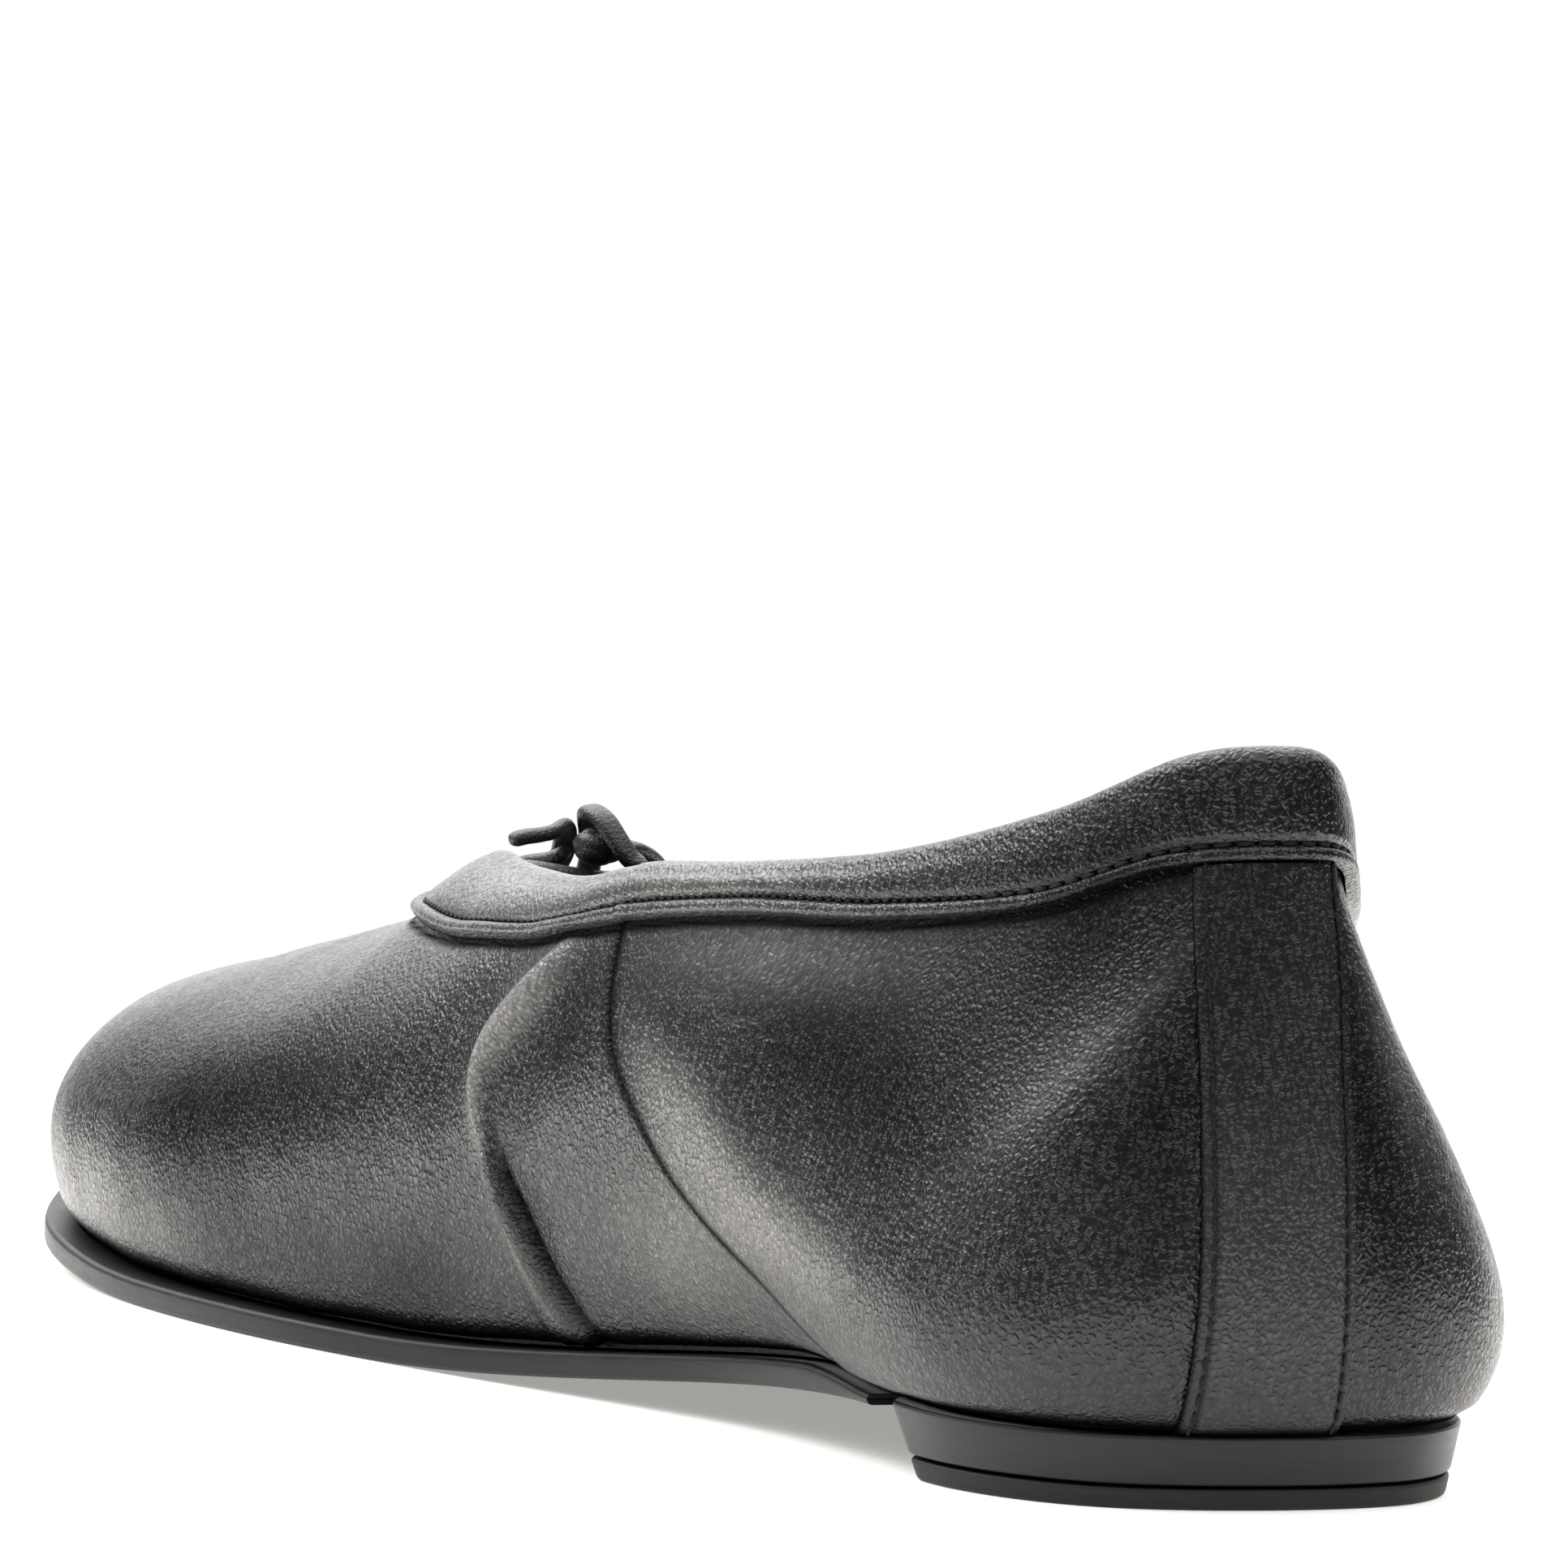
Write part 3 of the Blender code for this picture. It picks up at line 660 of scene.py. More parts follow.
RIPPLES = (
    Ripple(150.0, 310.0, 210.0, 0.3, 0.00005),
    Ripple(-220.0, 190.0, 400.0, 1.9, 0.00004),
    Ripple(330.0, -420.0, 150.0, 4.1, 0.00003),
    Ripple(90.0, 620.0, -380.0, 5.2, 0.00002),
)


@dataclass(frozen=True)
class RimWave:
    """A place where the drawstring lifts the collar's edge or lets it sag."""

    station: float
    reach: float
    rise: float


RIM_WAVES = (RimWave(5.9, 0.60, -0.0012), RimWave(7.6, 0.55, 0.0010))


@dataclass(frozen=True)
class Wall:
    """The leather wall of the upper: its last, its thicknesses and its creases."""

    last: Last = Last()
    wall: float = 0.0016
    quarter_thickness: float = 0.00035
    rim_cover: float = 0.0014
    band_width: float = 0.0105
    band_shadow: float = 0.0006
    edge_round: float = 0.0008
    seam_groove: float = 0.00060
    seam_groove_width: float = 0.00065
    foot_tuck: float = 0.0007
    foot_tuck_way: float = 0.045
    foot_shade_way: float = 0.022
    seam_shade_width: float = 0.0017
    rim_wave_start: float = 0.72
    rim_wave_span: float = 0.28

    def seam_station(self, way: np.ndarray, side: Side) -> np.ndarray:
        """Return the station of the quarter's front edge on one side.

        Args:
            way: The shares of the way from sole to collar.
            side: The side of the shoe.

        Returns:
            The station at each share.
        """
        rows = np.array([2 * SEAM[0] - SEAM[1], *SEAM, 2 * SEAM[-1] - SEAM[-2]])
        at = np.clip(way, 0.0, 1.0) * (len(SEAM) - 1)
        start = np.minimum(np.floor(at).astype(int), len(SEAM) - 2)
        distance = smooth_curve(*(rows[start + step] for step in range(4)), at - start)
        return distance if side is Side.OUTER else STATION_COUNT - distance

    def relief(self, at: np.ndarray, way: np.ndarray) -> np.ndarray:
        """Work out the creases and ripples of the leather.

        Args:
            at: The stations.
            way: The shares of the way from sole to collar.

        Returns:
            The outward move at each place, in metres.
        """
        shape = np.shape(at)
        points = self.last.wall_point(at, way).reshape(-1, 3)
        normals = self.last.wall_normal(at, way).reshape(-1, 3)
        move = np.zeros(len(points))
        for fold in FOLDS:
            move += fold.height(self.last, points, normals)
        for ripple in RIPPLES:
            waves = np.array([ripple.across, ripple.along, ripple.upward])
            move += ripple.rise * np.sin(points @ waves + ripple.turn)
        return move.reshape(shape)

    def shade(self, at: np.ndarray, way: np.ndarray) -> np.ndarray:
        """Work out which parts of the leather lie in a narrow dark gap.

        Args:
            at: The stations.
            way: The shares of the way from sole to collar.

        Returns:
            The darkness at each place, from 0 to 1.
        """
        points = self.last.wall_point(at, way)
        flat = points.reshape(-1, 3)
        normals = self.last.wall_normal(at, way).reshape(-1, 3)
        dark = np.exp(-((way / self.foot_shade_way) ** 4))
        for side in Side:
            seam = self.last.wall_point(self.seam_station(way, side), way)
            away = np.linalg.norm(points - seam, axis=-1)
            dark = np.maximum(dark, np.exp(-((away / self.seam_shade_width) ** 2)))
        for fold in FOLDS:
            if fold.kind is FoldKind.LAP:
                dark = np.maximum(dark, fold.shade(self.last, flat, normals).reshape(way.shape))
        return dark

    def crest_highlight(self, at: np.ndarray, way: np.ndarray) -> np.ndarray:
        """Return how strongly a painted highlight lies along the crests of the folds at each place.

        Args:
            at: The stations.
            way: The shares of the way from sole to collar.

        Returns:
            The strengths, from 0 to 1.
        """
        flat = self.last.wall_point(at, way).reshape(-1, 3)
        normals = self.last.wall_normal(at, way).reshape(-1, 3)
        folds = [fold for fold in FOLDS if fold.crest_highlight > 0.0]
        return sum(fold.highlight_cover(self.last, flat, normals) for fold in folds).reshape(way.shape)

    def band_at(self, column: tuple) -> float:
        """Return the collar band's width on an upright line."""
        station = column_station(self, column, np.array(1.0))
        return float(self.last.column(station, "band")) * self.band_width

    def surface(self, at: np.ndarray, way: np.ndarray, offset: np.ndarray) -> np.ndarray:
        """Return the creased wall moved outwards by an offset.

        Args:
            at: The stations.
            way: The shares of the way from sole to collar.
            offset: The move outwards, in metres.

        Returns:
            The points, the three axes last.
        """
        tuck = self.foot_tuck * (1.0 - smooth_step(way / self.foot_tuck_way))
        points = self.last.skin(at, way, offset + self.relief(at, way) - tuck)
        lift = sum(wave.rise * np.exp(-(((at - wave.station) / wave.reach) ** 2)) for wave in RIM_WAVES)
        points[..., 2] += lift * smooth_step((way - self.rim_wave_start) / self.rim_wave_span)
        return points

    def panel_lift(self, panel: Panel, side: Side, at: np.ndarray, way: np.ndarray) -> np.ndarray:
        """Work out how far a panel's leather stands above the vamp's, with its rounded edge.

        Args:
            panel: The panel that the places lie on.
            side: The side of the shoe.
            at: The stations.
            way: The shares of the way from sole to collar.

        Returns:
            The outward lift at each place, in metres.
        """
        seam = self.last.wall_point(self.seam_station(way, side), way)
        distance = np.linalg.norm(self.last.wall_point(at, way) - seam, axis=-1)
        if panel is Panel.VAMP:
            return -self.seam_groove * np.exp(-((distance / self.seam_groove_width) ** 2))
        short = 1.0 - np.clip(distance / self.edge_round, 0.0, 1.0)
        return self.quarter_thickness * np.sqrt(1.0 - short**2)


@dataclass(frozen=True)
class ColumnPlan:
    """How many upright lines each panel of the wall has, and where they crowd together."""

    quarter: int
    vamp_outer: int
    vamp_inner: int
    focus: float = 5.5
    focus_reach: float = 0.75
    focus_gain: float = 2.6
    edge_shares: tuple[float, ...] = (0.0, 0.0015, 0.003, 0.0045, 0.006, 0.008, 0.011, 0.015)

    def shares(self, count: int) -> np.ndarray:
        """Return even shares from 0 to 1 with a few more close to 0."""
        rest = np.linspace(self.edge_shares[-1], 1.0, count)[1:]
        return np.concatenate([self.edge_shares, rest])

    def crowded(self, count: int, start: float) -> np.ndarray:
        """Return shares of the way from a start to the toe that crowd round the focus.

        Args:
            count: How many shares there are.
            start: The station that the shares start at.

        Returns:
            The shares.
        """
        places = np.linspace(start, TOE_STATION, 400)
        weight = 1.0 + self.focus_gain * np.exp(-(((places - self.focus) / self.focus_reach) ** 2))
        total = np.concatenate([[0.0], np.cumsum((weight[1:] + weight[:-1]) / 2)])
        even = np.interp(np.linspace(0.0, total[-1], count), total, np.linspace(0.0, 1.0, 400))
        return np.concatenate([self.edge_shares, even[even > self.edge_shares[-1] * 1.5]])

    def columns(self) -> list[tuple[Panel, Side, float]]:
        """List the upright lines in order round the shoe, each with its panel, side and share.

        Returns:
            The lines.
        """
        quarter = 1.0 - self.shares(self.quarter)[::-1]
        vamp_outer = self.crowded(self.vamp_outer, 4.0)
        vamp_inner = self.shares(self.vamp_inner)
        columns = [(Panel.QUARTER, Side.OUTER, share) for share in quarter]
        columns += [(Panel.VAMP, Side.OUTER, share) for share in vamp_outer]
        columns += [(Panel.VAMP, Side.INNER, share) for share in vamp_inner[-2::-1]]
        columns += [(Panel.QUARTER, Side.INNER, share) for share in quarter[:0:-1]]
        return columns


def column_station(wall: Wall, column: tuple[Panel, Side, float], way: np.ndarray) -> np.ndarray:
    """Find where an upright line of the wall runs.

    Args:
        wall: The wall.
        column: The line's panel, side and share of the panel.
        way: The shares of the way from sole to collar.

    Returns:
        The station at each of those shares.
    """
    panel, side, share = column
    seam = wall.seam_station(way, side)
    if panel is Panel.QUARTER:
        back = 0.0 if side is Side.OUTER else STATION_COUNT
        return back + share * (seam - back)
    return seam + share * (TOE_STATION - seam)


def way_below_rim(wall: Wall, column: tuple[Panel, Side, float], distances: np.ndarray) -> np.ndarray:
    """Find how far up the wall a line lies the given distances below the rim.

    Args:
        wall: The wall.
        column: The line's panel, side and share of the panel.
        distances: The distances below the rim, in metres.

    Returns:
        The shares of the way from sole to collar.
    """
    ways = np.linspace(0.0, 1.0, 61)
    points = wall.last.wall_point(column_station(wall, column, ways), ways)
    steps = np.linalg.norm(np.diff(points, axis=0), axis=1)
    below = np.concatenate([np.cumsum(steps[::-1])[::-1], [0.0]])
    return np.interp(distances, below[::-1], ways[::-1])


def ring_faces(ring_count: int, ring_size: int, closed: bool) -> np.ndarray:
    """List the quads between rings of points.

    Args:
        ring_count: How many rings there are.
        ring_size: How many points each ring has.
        closed: Whether the last ring joins the first.

    Returns:
        The corner numbers of the quads, a row for each.
    """
    rings = np.arange(ring_count if closed else ring_count - 1)[:, None]
    spots = np.arange(ring_size)[None, :]
    here = rings * ring_size
    there = (rings + 1) % ring_count * ring_size
    after = (spots + 1) % ring_size
    return np.stack([here + spots, here + after, there + after, there + spots], axis=-1).reshape(-1, 4)


def patch_cover(patches: tuple[Patch, ...], at: np.ndarray, way: np.ndarray) -> np.ndarray:
    """Return how strongly a group of patches covers each place, from 0 to 1."""
    return np.clip(sum(patch.cover(at, way) for patch in patches), 0.0, 1.0)


def make_piece(
    name: str, points: np.ndarray, faces: np.ndarray | list, sharp: float | None = None
) -> bpy.types.Object:
    """Make a smooth-shaded object with its faces pointing out.

    Args:
        name: The piece's name.
        points: Its points in the frame, a row for each.
        faces: The corner numbers of its faces.
        sharp: The angle in degrees past which an edge stays sharp, or None.

    Returns:
        The new object.
    """
    mesh = bpy.data.meshes.new(name)
    mesh.from_pydata(np.asarray(points).tolist(), [], [list(map(int, face)) for face in faces])
    shape = bmesh.new()
    shape.from_mesh(mesh)
    bmesh.ops.recalc_face_normals(shape, faces=shape.faces)
    shape.to_mesh(mesh)
    shape.free()
    mesh.shade_smooth()
    if sharp is not None:
        mesh.set_sharp_from_angle(angle=math.radians(sharp))
    piece = bpy.data.objects.new(name, mesh)
    bpy.context.collection.objects.link(piece)
    return piece


def paint(piece: bpy.types.Object, name: str, values: np.ndarray) -> None:
    """Store one number for each point of a piece."""
    layer = piece.data.attributes.new(name, "FLOAT", "POINT")
    layer.data.foreach_set("value", np.asarray(values, dtype=np.float32))


# The black that gives almost nothing back, mixed in as painted shade: in the narrow gaps between pieces of
# leather, in the grain's valleys and in broad patches.
PAINTED_SHADE_BLACK = (0.002, 0.002, 0.002, 1.0)


class Wire:
    """A socket of a shader tree, with the operators that add Math nodes."""

    def __init__(self, tree: bpy.types.NodeTree, socket: bpy.types.NodeSocket) -> None:
        """Keep the tree and the socket."""
        self.tree = tree
        self.socket = socket

    def math(self, operation: str, first: "Wire | float", second: "Wire | float") -> "Wire":
        """Add a Math node.

        Args:
            operation: The node's operation.
            first: The first value or wire.
            second: The second value or wire.

        Returns:
            The wire that leaves the node.
        """
        node = self.tree.nodes.new("ShaderNodeMath")
        node.operation = operation
        for socket, value in zip(node.inputs, (first, second)):
            if isinstance(value, Wire):
                self.tree.links.new(value.socket, socket)
            else:
                socket.default_value = value
        return Wire(self.tree, node.outputs[0])

    def __add__(self, other: "Wire | float") -> "Wire":
        """Add."""
        return self.math("ADD", self, other)

    __radd__ = __add__

    def __sub__(self, other: "Wire | float") -> "Wire":
        """Subtract."""
        return self.math("SUBTRACT", self, other)

    def __rsub__(self, other: float) -> "Wire":
        """Subtract from a number."""
        return self.math("SUBTRACT", other, self)

    def __mul__(self, other: "Wire | float") -> "Wire":
        """Multiply."""
        return self.math("MULTIPLY", self, other)

    __rmul__ = __mul__

    def larger(self, other: "Wire") -> "Wire":
        """Return the larger of two wires."""
        return self.math("MAXIMUM", self, other)

    def clamp(self) -> "Wire":
        """Keep the value between 0 and 1."""
        return self.math("MINIMUM", self.math("MAXIMUM", self, 0.0), 1.0)


class Shader:
    """A material's node tree with one Principled BSDF."""

    def __init__(self, name: str) -> None:
        """Make the material."""
        self.material = bpy.data.materials.new(name)
        self.material.use_nodes = True
        self.tree = self.material.node_tree
        self.surface = self.tree.nodes["Principled BSDF"]

    def node(self, kind: str, settings: dict | None = None, output: int | str = 0, **values: object) -> Wire:
        """Add a node.

        Args:
            kind: The node's type.
            settings: Its own settings, which are set first. A list of stops fills a colour ramp.
            output: Which output to return.
            **values: The values or wires of its sockets, with a space in a name written as an underscore.

        Returns:
            The wire that leaves the node.
        """
        node = self.tree.nodes.new(kind)
        for key, value in (settings or {}).items():
            if key == "stops":
                self.fill_ramp(node.color_ramp, value)
            else:
                setattr(node, key, value)
        for key, value in values.items():
            socket = self.find(node, key)
            if isinstance(value, Wire):
                self.tree.links.new(value.socket, socket)
            else:
                socket.default_value = value
        return Wire(self.tree, node.outputs[output])

    @staticmethod
    def find(node: bpy.types.Node, key: str) -> bpy.types.NodeSocket:
        """Return the enabled socket whose name matches a key."""
        name = key.replace("_", " ")
        return next(socket for socket in node.inputs if socket.enabled and socket.name == name)

    @staticmethod
    def fill_ramp(ramp: bpy.types.ColorRamp, stops: list) -> None:
        """Set a ramp's stops from positions and colours.

        Args:
            ramp: The colour ramp.
            stops: Pairs of a position and a colour.
        """
        while len(ramp.elements) < len(stops):
            ramp.elements.new(0.5)
        for element, (position, colour) in zip(ramp.elements, stops):
            element.position = position
            element.color = (*colour, 1.0)

    def place(self) -> Wire:
        """Return the object's own coordinates."""
        return self.node("ShaderNodeTexCoord", output="Object")

    def noise(self, place: Wire, size: float, detail: float = 2.0, rough: float = 0.5) -> Wire:
        """Return a noise whose lumps have a size in metres."""
        return self.node(
            "ShaderNodeTexNoise", {"noise_dimensions": "3D"}, Vector=place, Scale=1.0 / size, Detail=detail,
            Roughness=rough,
        )

    def cells(self, place: Wire, size: float, valley: float = 0.2) -> Wire:
        """Return flat-topped cells, 1 on top and 0 in the valleys between.

        Args:
            place: The coordinates.
            size: The size of a cell in metres.
            valley: How far a valley's slope reaches into a cell, as a share of its size.

        Returns:
            The wire of the height.
        """
        wander = self.node(
            "ShaderNodeTexNoise", {"noise_dimensions": "3D"}, output="Color", Vector=place,
            Scale=0.7 / size, Detail=1.0,
        )
        sway = self.node("ShaderNodeVectorMath", {"operation": "SCALE"}, Scale=size * 0.5)
        self.tree.links.new(wander.socket, sway.socket.node.inputs[0])
        bent = self.node("ShaderNodeVectorMath", {"operation": "ADD"})
        self.tree.links.new(place.socket, bent.socket.node.inputs[0])
        self.tree.links.new(sway.socket, bent.socket.node.inputs[1])
        edge = self.node(
            "ShaderNodeTexVoronoi", {"feature": "DISTANCE_TO_EDGE"}, Vector=bent, Scale=1.0 / size
        )
        return self.node(
            "ShaderNodeMapRange", {"interpolation_type": "SMOOTHSTEP"}, Value=edge, From_Min=0.0,
            From_Max=valley,
        )

    def mix(self, factor: Wire, first: tuple | Wire, second: tuple | Wire) -> Wire:
        """Blend two colours by a factor.

        Args:
            factor: The share of the second.
            first: The colour or wire at 0.
            second: The colour or wire at 1.

        Returns:
            The wire of the blend.
        """
        node = self.tree.nodes.new("ShaderNodeMix")
        node.data_type = "RGBA"
        self.tree.links.new(factor.socket, node.inputs[0])
        for socket, value in ((node.inputs[6], first), (node.inputs[7], second)):
            if isinstance(value, Wire):
                self.tree.links.new(value.socket, socket)
            else:
                socket.default_value = (*value, 1.0)
        return Wire(self.tree, node.outputs[2])

    def bump(self, height: Wire, depth: float, strength: float = 1.0) -> Wire:
        """Return a surface direction from a height, with its depth in metres."""
        return self.node("ShaderNodeBump", Strength=strength, Distance=depth, Height=height)

    def finish(self, constants: dict, dark: Wire | None = None, **wires: Wire) -> bpy.types.Material:
        """Set the surface's constants, link what varies and return the material.

        Args:
            constants: The values of sockets that are the same all over, by name.
            dark: The share of the painted shade's black, or None.
            **wires: The wires by socket name, with a space written as an underscore.

        Returns:
            The finished material.
        """
        for key, value in constants.items():
            self.surface.inputs[key].default_value = value
        for key, wire in wires.items():
            self.tree.links.new(wire.socket, self.surface.inputs[key.replace("_", " ")])
        if dark is not None:
            black = self.tree.nodes.new("ShaderNodeBsdfDiffuse")
            black.inputs["Color"].default_value = PAINTED_SHADE_BLACK
            both = self.tree.nodes.new("ShaderNodeMixShader")
            self.tree.links.new(dark.socket, both.inputs[0])
            self.tree.links.new(self.surface.outputs[0], both.inputs[1])
            self.tree.links.new(black.outputs[0], both.inputs[2])
            self.tree.links.new(both.outputs[0], self.tree.nodes["Material Output"].inputs["Surface"])
        return self.material


@dataclass(frozen=True)
class GrainLeather:
    """Black pebbled leather with a soft gloss, painted shade and painted highlights, pulled into longer
    creases where a stretch is painted.
    """

    name: str
    valley: tuple[float, float, float] = (0.002, 0.002, 0.0024)
    crown: tuple[float, float, float] = (0.0095, 0.0092, 0.0094)
    # The light grey of the painted highlights.
    painted_light: tuple[float, float, float] = (0.215, 0.210, 0.200)
    pebble: float = 0.00072
    depth: float = 0.00015
    gloss: float = 0.24
    # How much painted shade darkens the grain's valleys.
    valley_shade: float = 0.24
    sheen: float = 0.10
    pull: tuple[float, float, float] = (0.0, -0.72, 0.69)
    swell_size: float = 1.3
    swell_start: float = 0.30
    swell_end: float = 0.66
    swell_share: float = 0.45
    cell_share: float = 0.55
    cell_valley: float = 0.34
    crease_size: float = 0.8
    wide: float = 0.011
    pore: float = 0.0006

    def lumps(self, shader: Shader, place: Wire, size: float) -> Wire:
        """Return soft pebbles, 1 on top and 0 in the creases between.

        Args:
            shader: The leather's shader.
            place: The coordinates.
            size: The size of a pebble in metres.

        Returns:
            The wire of the height.
        """
        swell = shader.noise(place, size * self.swell_size, 1.6, 0.5)
        soft = shader.node(
            "ShaderNodeMapRange", {"interpolation_type": "SMOOTHSTEP"}, Value=swell,
            From_Min=self.swell_start, From_Max=self.swell_end,
        )
        cells = shader.cells(place, size, self.cell_valley)
        return soft * self.swell_share + cells * self.cell_share

    def material(self) -> bpy.types.Material:
        """Build the leather's material.

        Returns:
            The material.
        """
        shader = Shader(self.name)
        place = shader.place()
        stretch = shader.node("ShaderNodeAttribute", {"attribute_name": "stretch"}, output="Fac")
        shade = shader.node("ShaderNodeAttribute", {"attribute_name": "shade"}, output="Fac")
        along = shader.node(
            "ShaderNodeVectorMath", {"operation": "DOT_PRODUCT"}, output="Value", Vector=place
        )
        along.socket.node.inputs[1].default_value = self.pull
        shift = shader.node("ShaderNodeVectorMath", {"operation": "SCALE"}, Scale=along * -0.72)
        shift.socket.node.inputs[0].default_value = self.pull
        pulled = shader.node("ShaderNodeVectorMath", {"operation": "ADD"})
        shader.tree.links.new(place.socket, pulled.socket.node.inputs[0])
        shader.tree.links.new(shift.socket, pulled.socket.node.inputs[1])
        pebbles = self.lumps(shader, place, self.pebble)
        creases = self.lumps(shader, pulled, self.pebble * self.crease_size)
        wide = shader.noise(place, self.wide, 2.0)
        tiny = shader.noise(place, self.pore, 2.0)
        top = pebbles * (1.0 - stretch) + creases * stretch
        height = top * 0.85 + tiny * 0.35
        tone = (top + (wide - 0.5) * 0.5).clamp()
        rough = self.gloss + (1.0 - top) * 0.12 + (wide - 0.5) * 0.12
        # The patches of painted shade and of painted highlight, read from the piece's attributes.
        painted_shade = shader.node("ShaderNodeAttribute", {"attribute_name": "painted_shade"}, output="Fac")
        pale = shader.node("ShaderNodeAttribute", {"attribute_name": "pale"}, output="Fac")
        # Painted shade: the grain's valleys, the patches of painted shade and the narrow gaps all mix in the
        # black.
        valleys = (1.0 - top) * self.valley_shade
        dark = shade.larger((painted_shade + valleys).clamp())
        colour = shader.mix(tone, self.valley, self.crown)
        # The painted highlights blend the colour towards that grey, more on the pebbles' tops.
        return shader.finish(
            {"Coat Roughness": 0.28, "IOR": 1.5, "Coat Weight": self.sheen},
            dark,
            Base_Color=shader.mix(pale * (0.55 + top * 0.35), colour, self.painted_light),
            Roughness=(rough - pale * 0.04).clamp(),
            Normal=shader.bump(height, self.depth),
        )


@dataclass(frozen=True)
class SmoothLeather:
    """Smooth leather for the lining, the insole and the laces."""

    name: str
    dark: tuple[float, float, float]
    light: tuple[float, float, float]
    pore: float = 0.0005
    depth: float = 0.00004
    gloss: float = 0.5

    def material(self) -> bpy.types.Material:
        """Build the leather's material.

        Returns:
            The material.
        """
        shader = Shader(self.name)
        place = shader.place()
        pores = 1.0 - shader.cells(place, self.pore, 0.3)
        wide = shader.noise(place, 0.014, 4.0, 0.6)
        tone = (wide * 1.4 - 0.2 - pores * 0.2).clamp()
        rough = self.gloss + (wide - 0.5) * 0.2 + pores * 0.08
        return shader.finish(
            {"IOR": 1.5},
            Base_Color=shader.mix(tone, self.dark, self.light),
            Roughness=rough.clamp(),
            Normal=shader.bump(1.0 - pores, self.depth),
        )


@dataclass(frozen=True)
class DyedEdge:
    """Dyed and burnished edge of the sole and heel, with faint level strokes from the wheel."""

    name: str
    dark: tuple[float, float, float] = (0.005, 0.005, 0.006)
    light: tuple[float, float, float] = (0.016, 0.016, 0.018)
    gloss: float = 0.30
    shine: float = 0.22
    depth: float = 0.00005

    def material(self) -> bpy.types.Material:
        """Build the edge's material.

        Returns:
            The material.
        """
        shader = Shader(self.name)
        place = shader.place()
        flat = shader.node("ShaderNodeMapping", Vector=place, Scale=(1.0, 1.0, 14.0))
        strokes = shader.noise(flat, 0.006, 4.0, 0.65)
        specks = shader.noise(place, 0.0009, 3.0, 0.6)
        tone = (strokes * 1.5 - 0.25).clamp()
        rough = self.gloss + strokes * 0.18 + specks * 0.06
        height = strokes * 0.7 + specks * 0.3
        return shader.finish(
            {"Specular IOR Level": self.shine},
            Base_Color=shader.mix(tone, self.dark, self.light),
            Roughness=rough.clamp(),
            Normal=shader.bump(height, self.depth),
        )


@dataclass(frozen=True)
class Thread:
    """Waxed sewing thread with a fine twist."""

    name: str
    dark: tuple[float, float, float] = (0.004, 0.004, 0.004)
    light: tuple[float, float, float] = (0.007, 0.007, 0.0075)

    def material(self) -> bpy.types.Material:
        """Build the thread's material.

        Returns:
            The material.
        """
        shader = Shader(self.name)
        twist = shader.noise(shader.place(), 0.00018, 1.0)
        return shader.finish(
            {"Specular IOR Level": 0.22},
            Base_Color=shader.mix(twist, self.dark, self.light),
            Roughness=(0.5 + twist * 0.2).clamp(),
            Normal=shader.bump(twist, 0.00004),
        )


@dataclass(frozen=True)
class PaleFloor:
    """The plain pale floor of a studio. It glows faintly all over, which lifts its shadows, and more
    strongly in a painted pool of light beside the shoe.
    """

    name: str = "studio_floor"
    pool: tuple[float, float, float] = (-0.17, 0.25, 0.0)
    pool_reach: float = 0.16
    glow: float = 2.2
    lift: float = 0.16

    def material(self) -> bpy.types.Material:
        """Build the floor's material.

        Returns:
            The material.
        """
        shader = Shader(self.name)
        place = shader.place()
        cloud = shader.noise(place, 0.4, 1.0)
        away = shader.node("ShaderNodeVectorMath", {"operation": "DISTANCE"}, output="Value")
        shader.tree.links.new(place.socket, away.socket.node.inputs[0])
        away.socket.node.inputs[1].default_value = self.pool
        share = (1.0 - away * (1.0 / self.pool_reach)).clamp() * (1.0 - self.lift) + self.lift
        # The emission is painted light: a faint glow everywhere and a brighter pool round the pool's middle.
        return shader.finish(
            {"Specular IOR Level": 0.1, "Roughness": 0.9, "Emission Strength": self.glow},
            Emission_Color=shader.mix(share, (0.0, 0.0, 0.0), (1.0, 0.98, 0.94)),
            Base_Color=shader.mix(cloud, (0.93, 0.905, 0.865), (0.95, 0.925, 0.885)),
        )


def dress(piece: bpy.types.Object, *materials: bpy.types.Material) -> None:
    """Give a piece its materials in order.

    Args:
        piece: The piece.
        *materials: Its materials.
    """
    piece.data.materials.clear()
    for material in materials:
        piece.data.materials.append(material)


